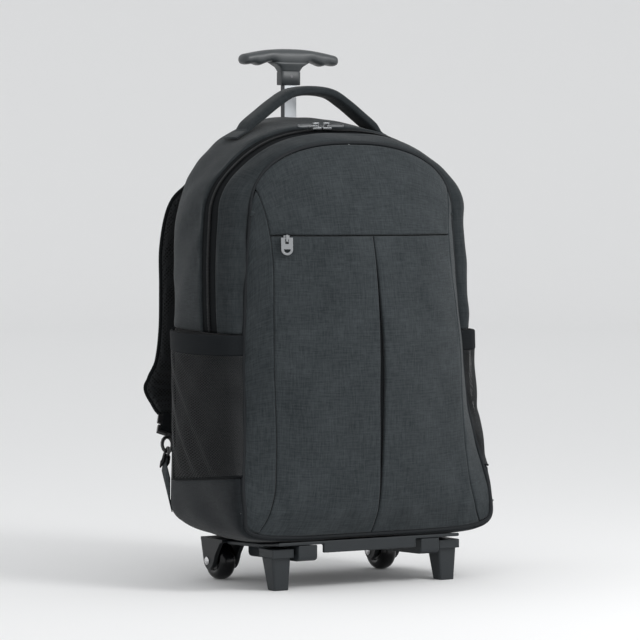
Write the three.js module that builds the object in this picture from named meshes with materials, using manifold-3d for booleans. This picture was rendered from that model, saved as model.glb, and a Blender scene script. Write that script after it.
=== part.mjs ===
// Wheeled backpack with a telescopic pull handle, as separate sewn, moulded and drawn pieces.
// Millimetres, +Z up, front of the bag towards -Y, origin at the bottom centre of the whole part.

import * as THREE from 'three';
import { mergeVertices } from 'three/addons/utils/BufferGeometryUtils.js';
import Module from 'manifold-3d';

const wasm = await Module();
wasm.setup();

// Clearances and sheet thicknesses
const seamGap = 0.3;
const clothWall = 2;
const frontWall = 3;
const backPadWall = 3;
const meshWall = 1.4;
const bandWall = 2.2;
const webbingWall = 1.6;

// Front outline of the bag, along the piping
const frontTopHalfWidth = 120;
const frontFootHalfWidth = 146.5;
const frontBottom = 53.6;
const frontCornerRise = 26.4;
const frontSideRise = 300;
const frontArchRise = 71;
const frontDepth = 56;
const frontLean = 36;
const pipingRadius = 2.2;

// Back outline of the bag, along the edge of the back panel
const backHalfWidth = 127;
const backFootHalfWidth = 136;
const backBottom = 45;
const backCornerRise = 44;
const backSideRise = 261;
const backArchRise = 126;
const backDepth = 80;
const backPadThickness = 11;
const backPadRim = 4;

// Fullness of the gusset and of the front
const gussetFullness = 28;
const undersideFullness = 6;
const frontFullness = 56;
const seamShare = 0.5;

// Main zip, pocket zip and side pockets
const zipTapeWidth = 26;
const zipTapeFromPiping = 20;
const pocketZipHeight = 357;
const pocketZipTapeWidth = 24;
const pleatOpening = 4.6;
const pleatBackingWidth = 30;
const sidePocketTop = 259;
const sidePocketBottom = 112;
const sidePocketFall = 14;
const sidePocketDepth = 13;
const pocketBandHeight = 22;

// Pull pole and its T handle
const poleBack = 72;
const poleWidth = 14.7;
const poleThickness = 8;
const poleWall = 1.1;
const stageWall = 1.3;
const runningGap = 0.4;
const poleOuterDrop = 3;
const poleStageLap = 6;
const gripHalfLength = 58.6;
const gripRise = 63;
const gripDepth = 20;
const gripEndThickness = 11;
const gripArch = 6.5;
const neckWidth = 23.4;
const neckDepth = 13;
const neckHeight = 20;

// Carry handle
const carryBack = 30;
const carryWidth = 26;
const carryThickness = 10;
const carryRise = 30.2;
const carryHalfSpan = 84;

// Shoulder straps
const strapWidth = 64;
const strapThickness = 10.5;
const strapBow = 54.66;
const webbingWidth = 20;
const wireRadius = 1.6;

// Base, feet and wheels
const plateThickness = 3.4;
const plateHalfWidth = 108;
const plateFront = -92;
const lipHeight = 10;
const lipHalfWidth = 55;
const runnerWidth = 22;
const runnerCentre = 73;
const runnerHeight = 19;
const footCentre = 99.2;
const footTopWidth = 22;
const footSoleWidth = 17;
const footTopDepth = 23;
const footSoleDepth = 15;
const footFront = -83;
const footHeadWidth = 25;
const footHeadHeight = 9;
const wheelCentre = 98;
const wheelBack = 45;
const wheelRadius = 19.6;
const wheelWidth = 19;
const wheelReach = 31;
const tyreBore = 9.8;
const hubBore = 3.4;
const axleRadius = 3;
const axleHeadRadius = 4.5;
const cheekThickness = 4.5;
const cheekGap = 1.6;

// Zip sliders and pulls
const pullThickness = 1.6;
const frontPullWidth = 12;
const frontPullLength = 17;
const topPullWidth = 8;
const topPullLength = 21;

// Heights that follow from the sizes above: top of the bag, middle of the grip's ends, grip neck
const backTop = backBottom + backCornerRise + backSideRise + backArchRise;
const poleOuterTop = backTop - poleOuterDrop;
const gripHeight = backTop + gripRise;
const neckTop = gripHeight - gripEndThickness / 2 - 0.5;
const neckBottom = neckTop - neckHeight;

// Sides of the bag as rows from the lower corner to the shoulder, heights as shares of the side:
// width as a share between the shoulder and the foot width, lean as a share of the front lean.
const frontSideRows = [
  { height: 0, width: 1, lean: 1 },
  { height: 0.07, width: 0.98, lean: 0.86 },
  { height: 0.16, width: 0.81, lean: 0.64 },
  { height: 0.25, width: 0.62, lean: 0.46 },
  { height: 0.38, width: 0.47, lean: 0.25 },
  { height: 0.5, width: 0.41, lean: 0.15 },
  { height: 0.7, width: 0.25, lean: 0.03 },
  { height: 0.85, width: 0.14, lean: 0 },
  { height: 1, width: 0, lean: 0 },
];

// Extra half width of the back towards its foot, as a share of the side's height
const backSideRows = [
  { height: 0, width: 1 },
  { height: 0.3, width: 0.7 },
  { height: 0.7, width: 0.1 },
  { height: 1, width: 0 },
];

// Fullness of the gusset round the bag, from the bottom centre (0) to the top centre (1),
// as a share between the fullness of the underside (0) and of the side (1).
const fullnessRows = [
  { height: 0, share: 0 },
  { height: 0.1, share: 0.02 },
  { height: 0.2, share: 0.12 },
  { height: 0.3, share: 0.3 },
  { height: 0.4, share: 0.52 },
  { height: 0.5, share: 0.88 },
  { height: 0.62, share: 0.98 },
  { height: 0.74, share: 0.5 },
  { height: 0.86, share: 0.3 },
  { height: 1, share: 0.14 },
];

// Width of the steep strips beside the front panel from the bottom of the front (0) to its top (1),
// as a share of the front's half width.
const stripRows = [
  { height: 0, width: 0.09 },
  { height: 0.05, width: 0.15 },
  { height: 0.12, width: 0.187 },
  { height: 0.2, width: 0.182 },
  { height: 0.3, width: 0.168 },
  { height: 0.45, width: 0.15 },
  { height: 0.6, width: 0.15 },
  { height: 0.75, width: 0.155 },
  { height: 0.85, width: 0.128 },
  { height: 0.93, width: 0.082 },
  { height: 1, width: 0.035 },
];

// Where the outline changes from the bottom edge to the side and from the side to the arch
const bottomShare = 0.25;
const archShare = 0.6;

const group = new THREE.Group();

// Colours and finishes
const colours = {
  cloth: { color: 0x3a3f42, roughness: 0.9, metalness: 0 },
  black_cloth: { color: 0x17191a, roughness: 0.95, metalness: 0 },
  mesh: { color: 0x1b1d1e, roughness: 0.85, metalness: 0 },
  plastic: { color: 0x2b2e30, roughness: 0.5, metalness: 0 },
  rubber: { color: 0x111213, roughness: 0.3, metalness: 0 },
  metal: { color: 0xb4b8ba, roughness: 0.35, metalness: 0.9 },
};

function addPiece(name, geometry, finish, parent = group) {
  const mesh = new THREE.Mesh(geometry, new THREE.MeshStandardMaterial(colours[finish]));
  mesh.name = name;
  parent.add(mesh);
  return mesh;
}

// Values between table rows, on a smooth curve through them
function tableValue(rows, column, height) {
  const last = rows.length - 1;
  let i = 0;
  while (i < last - 1 && height > rows[i + 1].height) i += 1;
  const slope = (k) => {
    const a = rows[Math.max(k - 1, 0)];
    const b = rows[Math.min(k + 1, last)];
    return (b[column] - a[column]) / (b.height - a.height);
  };
  const step = rows[i + 1].height - rows[i].height;
  const s = THREE.MathUtils.clamp((height - rows[i].height) / step, 0, 1);
  const h00 = 2 * s ** 3 - 3 * s ** 2 + 1;
  const h10 = s ** 3 - 2 * s ** 2 + s;
  const h01 = 3 * s ** 2 - 2 * s ** 3;
  const h11 = s ** 3 - s ** 2;
  return h00 * rows[i][column] + h10 * step * slope(i) + h01 * rows[i + 1][column] + h11 * step * slope(i + 1);
}

// A closed solid from points and triangles, turned so that its faces point out
function solid(points, triangles) {
  let volume = 0;
  for (const [a, b, c] of triangles) {
    volume += points[a].dot(new THREE.Vector3().crossVectors(points[b], points[c]));
  }
  const ordered = volume < 0 ? triangles.map(([a, b, c]) => [a, c, b]) : triangles;
  const geometry = new THREE.BufferGeometry();
  geometry.setAttribute('position', new THREE.Float32BufferAttribute(points.flatMap((p) => [p.x, p.y, p.z]), 3));
  geometry.setIndex(ordered.flat());
  geometry.computeVertexNormals();
  return geometry;
}

// A sheet with thickness between two grids of points
function sheet(outer, inner) {
  const rows = outer.length;
  const columns = outer[0].length;
  const points = [...outer.flat(), ...inner.flat()];
  const shift = rows * columns;
  const triangles = [];
  const quad = (a, b, c, d) => triangles.push([a, b, c], [a, c, d]);
  for (let i = 0; i < rows - 1; i += 1) {
    for (let j = 0; j < columns - 1; j += 1) {
      const k = i * columns + j;
      quad(k, k + 1, k + columns + 1, k + columns);
      quad(shift + k, shift + k + columns, shift + k + columns + 1, shift + k + 1);
    }
  }
  for (let j = 0; j < columns - 1; j += 1) {
    const end = (rows - 1) * columns + j;
    quad(j + 1, j, shift + j, shift + j + 1);
    quad(end, end + 1, shift + end + 1, shift + end);
  }
  for (let i = 0; i < rows - 1; i += 1) {
    const k = i * columns;
    const end = k + columns - 1;
    quad(k, k + columns, shift + k + columns, shift + k);
    quad(end + columns, end, shift + end, shift + end + columns);
  }
  return solid(points, triangles);
}

// A solid lofted through rings of equal length, capped at its ends or closed into a loop
function loft(rings, closed = false) {
  const sides = rings[0].length;
  const points = rings.flat();
  const triangles = [];
  const spans = closed ? rings.length : rings.length - 1;
  for (let i = 0; i < spans; i += 1) {
    const next = (i + 1) % rings.length;
    for (let j = 0; j < sides; j += 1) {
      const k = (j + 1) % sides;
      triangles.push([i * sides + j, i * sides + k, next * sides + k]);
      triangles.push([i * sides + j, next * sides + k, next * sides + j]);
    }
  }
  if (!closed) {
    const end = (rings.length - 1) * sides;
    for (let j = 1; j < sides - 1; j += 1) {
      triangles.push([0, j + 1, j], [end, end + j, end + j + 1]);
    }
  }
  return solid(points, triangles);
}

function vector(x, y, z) {
  return new THREE.Vector3(x, y, z);
}

// A rounded section in the plane of two directions
function sectionRing(centre, across, through, halfAcross, halfThrough, sides, power = 0.6) {
  const ring = [];
  for (let j = 0; j < sides; j += 1) {
    const angle = ((j + 0.5) / sides) * 2 * Math.PI;
    const c = Math.sign(Math.cos(angle)) * Math.abs(Math.cos(angle)) ** power;
    const s = Math.sign(Math.sin(angle)) * Math.abs(Math.sin(angle)) ** power;
    ring.push(centre.clone().addScaledVector(across, c * halfAcross).addScaledVector(through, s * halfThrough));
  }
  return ring;
}

function box(sizeX, sizeY, sizeZ, x, y, z) {
  const geometry = new THREE.BoxGeometry(sizeX, sizeY, sizeZ);
  geometry.translate(x, y, z);
  return geometry;
}

// An outline in the YZ plane, extruded along X from a start
function extrudedAlongX(shape, length, start) {
  const geometry = new THREE.ExtrudeGeometry(shape, { depth: length, bevelEnabled: false, curveSegments: 5 });
  geometry.applyMatrix4(new THREE.Matrix4().makeBasis(vector(0, 1, 0), vector(0, 0, 1), vector(1, 0, 0)));
  geometry.translate(start, 0, 0);
  return geometry;
}

// A drum about the X axis from a closed profile of radius and width
function turnedAboutX(profile, segments, x, y, z) {
  const geometry = new THREE.LatheGeometry(profile.map(([r, w]) => new THREE.Vector2(r, w)), segments);
  geometry.rotateZ(-Math.PI / 2);
  geometry.translate(x, y, z);
  return geometry;
}

// Joins and cuts of closed meshes
function toManifold(geometry) {
  const bare = geometry.clone();
  bare.deleteAttribute('normal');
  bare.deleteAttribute('uv');
  const merged = mergeVertices(bare, 1e-4);
  const triVerts = [];
  const index = merged.index.array;
  for (let i = 0; i < index.length; i += 3) {
    const [a, b, c] = [index[i], index[i + 1], index[i + 2]];
    if (a !== b && b !== c && a !== c) triVerts.push(a, b, c);
  }
  const mesh = new wasm.Mesh({
    numProp: 3,
    vertProperties: new Float32Array(merged.attributes.position.array),
    triVerts: new Uint32Array(triVerts),
  });
  return new wasm.Manifold(mesh);
}

function fromManifold(shape) {
  const mesh = shape.getMesh();
  const geometry = new THREE.BufferGeometry();
  geometry.setAttribute('position', new THREE.Float32BufferAttribute(mesh.vertProperties, 3));
  geometry.setIndex(Array.from(mesh.triVerts));
  geometry.computeVertexNormals();
  return geometry;
}

function join(...geometries) {
  return fromManifold(geometries.map(toManifold).reduce((a, b) => a.add(b)));
}

function cut(geometry, ...tools) {
  return fromManifold(tools.map(toManifold).reduce((a, b) => a.subtract(b), toManifold(geometry)));
}

// Outline of the bag at the piping and at the back panel, as a place round it:
// 0 at the bottom centre, 1 at the top centre, up the right side and down the left up to 2.
function superellipse(angle, power) {
  const c = Math.max(Math.cos(angle), 0) ** (2 / power);
  const s = Math.max(Math.sin(angle), 0) ** (2 / power);
  return [c, s];
}

const bottomPower = 5;
const backBottomPower = 3.4;
const archPower = 2.35;
const backArchPower = 2.15;

function frontHalfWidth(share) {
  const spread = frontFootHalfWidth - frontTopHalfWidth;
  return frontTopHalfWidth + spread * tableValue(frontSideRows, 'width', share);
}

function backHalfWidthAt(share) {
  return backHalfWidth + (backFootHalfWidth - backHalfWidth) * tableValue(backSideRows, 'width', share);
}

function frontPlane(z) {
  const share = THREE.MathUtils.clamp((z - frontBottom - frontCornerRise) / frontSideRise, 0, 1);
  return -(frontDepth + frontLean * tableValue(frontSideRows, 'lean', share));
}

function halfOutline(place, shape) {
  if (place < bottomShare) {
    const [c, s] = superellipse((place / bottomShare) * (Math.PI / 2), shape.bottomPower);
    return [shape.width(0) * s, shape.bottom + shape.cornerRise * (1 - c)];
  }
  const sideBottom = shape.bottom + shape.cornerRise;
  if (place < archShare) {
    const share = (place - bottomShare) / (archShare - bottomShare);
    return [shape.width(share), sideBottom + share * shape.sideRise];
  }
  const [c, s] = superellipse(((place - archShare) / (1 - archShare)) * (Math.PI / 2), shape.archPower);
  return [shape.width(1) * c, sideBottom + shape.sideRise + shape.archRise * s];
}

const frontShape = {
  bottom: frontBottom,
  cornerRise: frontCornerRise,
  sideRise: frontSideRise,
  archRise: frontArchRise,
  width: frontHalfWidth,
  bottomPower,
  archPower,
};

const backShape = {
  bottom: backBottom,
  cornerRise: backCornerRise,
  sideRise: backSideRise,
  archRise: backArchRise,
  width: backHalfWidthAt,
  bottomPower: backBottomPower,
  archPower: backArchPower,
};

function outlinePoint(place, shape) {
  const turned = ((place % 2) + 2) % 2;
  const side = turned > 1 ? -1 : 1;
  const [x, z] = halfOutline(turned > 1 ? 2 - turned : turned, shape);
  return [side * x, z];
}

function fullness(place) {
  const turned = ((place % 2) + 2) % 2;
  const half = turned > 1 ? 2 - turned : turned;
  return undersideFullness + (gussetFullness - undersideFullness) * tableValue(fullnessRows, 'share', half);
}

// The gusset between the piping (depth 0) and the back panel (depth 1), full in between
function gusset(place, depth) {
  const plain = (p) => {
    const [fx, fz] = outlinePoint(p, frontShape);
    const [bx, bz] = outlinePoint(p, backShape);
    return vector(
      THREE.MathUtils.lerp(fx, bx, depth),
      THREE.MathUtils.lerp(frontPlane(fz), backDepth, depth),
      THREE.MathUtils.lerp(fz, bz, depth),
    );
  };
  const step = 0.004;
  const ahead = plain(place + step).sub(plain(place - step));
  const out = vector(ahead.z, 0, -ahead.x).normalize();
  const turned = ((place % 2) + 2) % 2;
  const over = THREE.MathUtils.smoothstep(Math.min(turned, 2 - turned), archShare, 0.82);
  const swell = Math.sqrt(Math.max(1 - (2 * depth ** THREE.MathUtils.lerp(0.6, 0.95, over) - 1) ** 2, 0));
  return plain(place).addScaledVector(out, fullness(place) * swell);
}

// The front of the bag: across from -1 to 1 between the side pipings, up from 0 to 1
function seamAcross(up) {
  return 1 - tableValue(stripRows, 'width', THREE.MathUtils.clamp(up, 0, 1));
}

function frontFace(across, up) {
  const wide = Math.min(Math.abs(across), 1);
  const x = across * frontHalfWidth(THREE.MathUtils.clamp(up, 0, 1));
  const low = frontBottom + frontCornerRise * (1 - (1 - wide ** bottomPower) ** (1 / bottomPower));
  const shoulder = frontBottom + frontCornerRise + frontSideRise;
  const high = shoulder + frontArchRise * (1 - wide ** archPower) ** (1 / archPower);
  const z = THREE.MathUtils.lerp(low, high, up);
  const seam = seamAcross(up);
  const inside = seamShare + (1 - seamShare) * (1 - Math.min(wide / seam, 1) ** 2.2);
  const strip = seamShare * (1 - Math.max((wide - seam) / (1 - seam), 0)) ** 0.8;
  const forward = frontFullness * Math.max(Math.sin(Math.PI * up), 0) ** 0.75 * (wide < seam ? inside : strip);
  return vector(x, frontPlane(z) - forward, z);
}

const bagCentre = vector(0, 10, 260);

// Both panels beside a front seam end on its own normal, so that their walls stay parallel
function normalAt(surface, a, b) {
  const atSeam = surface === frontFace && Math.abs(Math.abs(a) - seamAcross(b)) < 0.012;
  return atSeam
    ? plainNormal(surface, Math.sign(a) * seamAcross(b), b, 0.02)
    : plainNormal(surface, a, b, 2e-3);
}

function plainNormal(surface, a, b, step) {
  const alongA = surface(a + step, b).sub(surface(a - step, b));
  const alongB = surface(a, Math.min(b + step, 0.9995)).sub(surface(a, Math.max(b - step, 0.0005)));
  const normal = alongA.cross(alongB).normalize();
  return normal.dot(surface(a, b).sub(bagCentre)) < 0 ? normal.negate() : normal;
}

function offsetPoint(surface, a, b, distance) {
  return surface(a, b).addScaledVector(normalAt(surface, a, b), distance);
}

// Cloth between rows and columns of a surface, its outer face raised by a distance
function cloth(surface, grid, wall, raise = () => 0) {
  const outer = grid.map((row) => row.map(([a, b], j) => offsetPoint(surface, a, b, raise(a, b, j))));
  const inner = grid.map((row) => row.map(([a, b], j) => offsetPoint(surface, a, b, raise(a, b, j) - wall)));
  return sheet(outer, inner);
}

function spread(from, to, count) {
  return Array.from({ length: count + 1 }, (_, i) => from + ((to - from) * i) / count);
}

// Place round the bag where the gusset reaches a height, on its right side
function placeAtHeight(height, depth) {
  return solve(bottomShare * 0.4, 0.97, height, (place) => gusset(place, depth).z);
}

// Seam places on the gusset
const bagDepth = frontDepth + backDepth;
const depthStep = seamGap / 2 / bagDepth;
const pipingClear = pipingRadius + seamGap + 0.5;
const zipFront = zipTapeFromPiping / bagDepth;
const zipRear = (zipTapeFromPiping + zipTapeWidth) / bagDepth;
const depthEnd = 1 - depthStep;
const pocketRear = 0.9;

function pocketTopHeight(depth) {
  return sidePocketTop + (depth - 0.5) * 3;
}

function pocketBottomHeight(depth) {
  return sidePocketBottom - sidePocketFall * depth + sidePocketFall / 3;
}

// A value between two limits where a rising measure reaches an amount
function solve(from, to, amount, measure) {
  let [low, high] = [from, to];
  for (let i = 0; i < 26; i += 1) {
    const middle = (low + high) / 2;
    if (measure(middle) < amount) low = middle;
    else high = middle;
  }
  return (low + high) / 2;
}

// Centre line of the piping and the distance of a point from it
const pipingLine = spread(0, 2, 52).slice(0, 52).map((place) => {
  const [x, z] = outlinePoint(place, frontShape);
  return vector(x, frontPlane(z), z);
});

function pipingDistance(point) {
  const nearest = vector(0, 0, 0);
  return Math.min(...pipingLine.map((start, i) => {
    const span = new THREE.Line3(start, pipingLine[(i + 1) % pipingLine.length]);
    return span.closestPointToPoint(point, true, nearest).distanceTo(point);
  }));
}

// Depth at which the gusset comes clear of the piping
function gussetStart(place) {
  return solve(0, 0.2, pipingClear, (depth) => pipingDistance(gusset(place, depth)));
}

// A depth of 0 stands for the edge beside the piping
function gussetSpot(place, depth) {
  return [place, depth === 0 ? gussetStart(place) : depth];
}

// Panels over the top of the bag, from the right pocket round to the left one
function overTop(depths, columns) {
  return depths.map((depth) => {
    const start = placeAtHeight(pocketTopHeight(depth) + seamGap, depth);
    return spread(0, 1, columns).map((share) => {
      const eased = share + 0.02 * Math.sin(4 * Math.PI * share);
      return gussetSpot(THREE.MathUtils.lerp(start, 2 - start, eased), depth);
    });
  });
}

function buildGussets() {
  const columns = 26;
  const front = overTop([0, 0.03, 0.08, zipFront - depthStep], columns);
  const tape = overTop([zipFront + depthStep, (zipFront + zipRear) / 2, zipRear - depthStep], columns);
  const rear = overTop([zipRear + depthStep, 0.5, 0.7, 0.85, 0.95, depthEnd], columns);
  addPiece('front_gusset', cloth(gusset, front, clothWall), 'cloth');
  addPiece('main_zip_tape', cloth(gusset, tape, clothWall), 'black_cloth');
  const slotWidth = poleWidth + 2 * (runningGap + stageWall) + 2;
  const slotDepth = poleThickness + 2 * (runningGap + stageWall) + 2;
  const top = frontBottom + frontCornerRise + frontSideRise + frontArchRise;
  const slot = box(slotWidth, slotDepth, 120, 0, poleBack, top + 40);
  addPiece('rear_gusset', cut(cloth(gusset, rear, clothWall), slot), 'cloth');
}

function sideGrid(depths, heightAt, rows, side) {
  return spread(0, 1, rows).map((share) =>
    depths.map((depth) => gussetSpot(side * placeAtHeight(heightAt(share, depth), depth), depth)));
}

const sides = [
  { name: 'left', sign: -1 },
  { name: 'right', sign: 1 },
];

function buildSidePanels() {
  const depths = [0, 0.03, 0.1, 0.25, 0.45, 0.65, 0.82, 0.94, depthEnd];
  const between = (share, depth) =>
    THREE.MathUtils.lerp(pocketBottomHeight(depth) + seamGap, pocketTopHeight(depth) - seamGap, share);
  for (const { name, sign } of sides) {
    addPiece(`side_panel_${name}`, cloth(gusset, sideGrid(depths, between, 5, sign), clothWall), 'black_cloth');
  }
  const around = spread(-1, 1, 20);
  const grid = depths.map((depth) => {
    const end = placeAtHeight(pocketBottomHeight(depth), depth);
    return around.map((share) => gussetSpot(end * Math.sign(share) * Math.abs(share) ** 0.8, depth));
  });
  addPiece('bottom_panel', cloth(gusset, grid, clothWall), 'cloth');
}

// Mesh pockets stand off the side panels and are sewn down at the piping, the rear and the bottom
function pocketRaise(place, depth) {
  const height = gusset(place, depth).z;
  const up = THREE.MathUtils.clamp((height - pocketBottomHeight(depth)) / (sidePocketTop - sidePocketBottom), 0, 1);
  const across = Math.max(Math.sin(Math.PI * Math.min(depth / pocketRear, 1)), 0) ** 0.6;
  const full = Math.min(1, (up / 0.35) ** 0.7);
  return 2 * seamGap + sidePocketDepth * across * full;
}

function buildSidePockets() {
  const depths = [0, 0.03, 0.1, 0.25, 0.45, 0.62, 0.78, pocketRear];
  const meshHeight = (share, depth) =>
    THREE.MathUtils.lerp(
      pocketBottomHeight(depth) + seamGap,
      pocketTopHeight(depth) - pocketBandHeight - seamGap,
      share ** 1.2,
    );
  const bandHeight = (share, depth) =>
    THREE.MathUtils.lerp(pocketTopHeight(depth) - pocketBandHeight, pocketTopHeight(depth), share);
  for (const { name, sign } of sides) {
    const meshGrid = sideGrid(depths, meshHeight, 6, sign);
    const bandGrid = sideGrid(depths, bandHeight, 1, sign);
    const raise = (wall) => (place, depth) => pocketRaise(place, depth) + wall;
    addPiece(`mesh_pocket_${name}`, cloth(gusset, meshGrid, meshWall, raise(meshWall)), 'mesh');
    addPiece(`pocket_band_${name}`, cloth(gusset, bandGrid, bandWall, raise(bandWall)), 'black_cloth');
  }
}

// Piping round the front
function buildPiping() {
  const count = pipingLine.length;
  const rings = pipingLine.map((centre, i) => {
    const along = pipingLine[(i + 1) % count].clone().sub(pipingLine[(i + count - 1) % count]).normalize();
    const across = vector(0, 1, 0).cross(along).normalize();
    const through = across.clone().cross(along);
    return sectionRing(centre, across, through, pipingRadius, pipingRadius, 6, 1);
  });
  addPiece('front_piping', loft(rings, true), 'black_cloth');
}

// How far up the front a line across it reaches a height
function upAtHeight(height, across) {
  return solve(0, 1, height, (up) => frontFace(across(up), up).z);
}

// Edges of the front that stay clear of the piping: at the side, at the bottom and at the top
function sideEdge(up) {
  return 1 - solve(0, 0.1, pipingClear, (inset) => pipingDistance(frontFace(1 - inset, up)));
}

function bottomEdge(across) {
  return solve(0, 0.1, pipingClear, (up) => pipingDistance(frontFace(across, up)));
}

function topEdge(across) {
  return 1 - solve(0, 0.1, pipingClear, (inset) => pipingDistance(frontFace(across, 1 - inset)));
}

// Panels of the front, kept clear of the piping and of each other
function buildFront() {
  const gapAcross = seamGap / frontTopHalfWidth;
  const seam = (up, side) => side * (seamAcross(up) - gapAcross);
  const upper = spread(0, 1, 6).map((share) =>
    spread(-1, 1, 14).map((place) => {
      const across = (up) => Math.sign(place) * Math.abs(place) ** 0.9 * seam(up, 1);
      const low = upAtHeight(pocketZipHeight + seamGap, across);
      const high = topEdge(across(0.99));
      const up = THREE.MathUtils.lerp(low, high, share ** 0.9);
      return [across(up), up];
    }));
  addPiece('front_upper_panel', cloth(frontFace, upper, frontWall), 'cloth');

  for (const { name, sign } of sides) {
    const lower = spread(0, 1, 12).map((share) =>
      spread(0, 1, 6).map((place) => {
        const opening = seamGap / 2 + (pleatOpening / 2) * Math.sin(Math.PI * Math.min(share, 1)) ** 2;
        const inner = opening / frontTopHalfWidth;
        const across = (up) => sign * THREE.MathUtils.lerp(inner, seam(up, 1), place ** 0.85);
        const low = bottomEdge(across(0.01));
        const high = upAtHeight(pocketZipHeight - seamGap, across);
        const up = THREE.MathUtils.lerp(low, high, share ** 1.3);
        return [across(up), up];
      }));
    addPiece(`front_pocket_${name}`, cloth(frontFace, lower, frontWall), 'cloth');

    const strip = spread(0, 1, 16).map((share) => {
      const up = THREE.MathUtils.lerp(0.012, 0.97, share ** 1.15);
      return spread(0, 1, 2).map((place) => {
        const from = seamAcross(up) + gapAcross;
        return [sign * THREE.MathUtils.lerp(from, sideEdge(up), place), up];
      });
    });
    addPiece(`side_strip_${name}`, cloth(frontFace, strip, frontWall), 'cloth');
  }

  const behind = () => -(frontWall + 2 * seamGap);
  const tape = [-0.5, 0.5].map((offset) =>
    spread(-0.84, 0.84, 12).map((across) =>
      [across, upAtHeight(pocketZipHeight + offset * pocketZipTapeWidth, () => across)]));
  addPiece('front_zip_tape', cloth(frontFace, tape, clothWall, behind), 'black_cloth');
  const halfBacking = pleatBackingWidth / 2 / frontTopHalfWidth;
  const backing = spread(0.02, upAtHeight(pocketZipHeight - pocketZipTapeWidth / 2 - 1, () => 0), 10).map((up) =>
    spread(-halfBacking, halfBacking, 2).map((across) => [across, up]));
  addPiece('pleat_backing', cloth(frontFace, backing, clothWall, behind), 'black_cloth');
}

// Padded back panel behind the gusset's rear edge
function backFace(across, up) {
  const wide = Math.min(Math.abs(across), 1);
  const low = backBottom + backCornerRise * (1 - (1 - wide ** backBottomPower) ** (1 / backBottomPower));
  const shoulder = backBottom + backCornerRise + backSideRise;
  const high = shoulder + backArchRise * (1 - wide ** backArchPower) ** (1 / backArchPower);
  return vector(across * backHalfWidthAt(up), backDepth + seamGap, THREE.MathUtils.lerp(low, high, up));
}

// The pad is a formed shell: full at its rim, where it is sewn, and hollow over the pole
function padCrown(across, up) {
  return (1 - Math.abs(across) ** 5) * (1 - Math.abs(2 * up - 1) ** 7);
}

function buildBackPanel() {
  const across = spread(-1, 1, 10).map((a) => Math.sign(a) * Math.abs(a) ** 0.75);
  const ups = spread(-1, 1, 10).map((b) => (1 + Math.sign(b) * Math.abs(b) ** 0.75) / 2);
  const layer = (rim, middle) => ups.map((up) => across.map((a) =>
    backFace(a, up).add(vector(0, THREE.MathUtils.lerp(rim, middle, padCrown(a, up)), 0))));
  const inner = layer(0, backPadThickness - backPadWall);
  const outer = layer(backPadRim, backPadThickness);
  addPiece('back_panel', sheet(outer, inner), 'black_cloth');
}

// Telescopic pole: three rectangular tubes, open at both ends
function tube(width, thickness, wall, bottom, top) {
  const height = top - bottom;
  const middle = (top + bottom) / 2;
  return cut(
    box(width, thickness, height, 0, poleBack, middle),
    box(width - 2 * wall, thickness - 2 * wall, height + 2, 0, poleBack, middle),
  );
}

function buildPole() {
  const step = 2 * (runningGap + stageWall);
  const bottom = backBottom + clothWall - seamGap;
  const middleTop = poleOuterTop - 2;
  addPiece('pole_outer', tube(poleWidth + 2 * step, poleThickness + 2 * step, stageWall, bottom, poleOuterTop), 'metal');
  const middleBottom = bottom + poleStageLap;
  addPiece('pole_middle', tube(poleWidth + step, poleThickness + step, stageWall, middleBottom, middleTop), 'metal');
  const innerTop = (neckBottom + neckTop) / 2 + 4;
  addPiece('pole_inner', tube(poleWidth, poleThickness, poleWall, middleBottom + poleStageLap, innerTop), 'metal');
}

// T handle: a bar along X with finger waves below and an arched top, on a square neck
const gripRows = [
  { height: 0, top: 1, wave: 0 },
  { height: 0.2, top: 0.97, wave: 0.1 },
  { height: 0.39, top: 0.86, wave: 1.05 },
  { height: 0.52, top: 0.73, wave: 0.75 },
  { height: 0.64, top: 0.57, wave: 0.32 },
  { height: 0.76, top: 0.38, wave: 0.6 },
  { height: 0.88, top: 0.16, wave: 0.45 },
  { height: 1, top: 0, wave: 0.45 },
];
const gripWave = 5.4;

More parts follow.
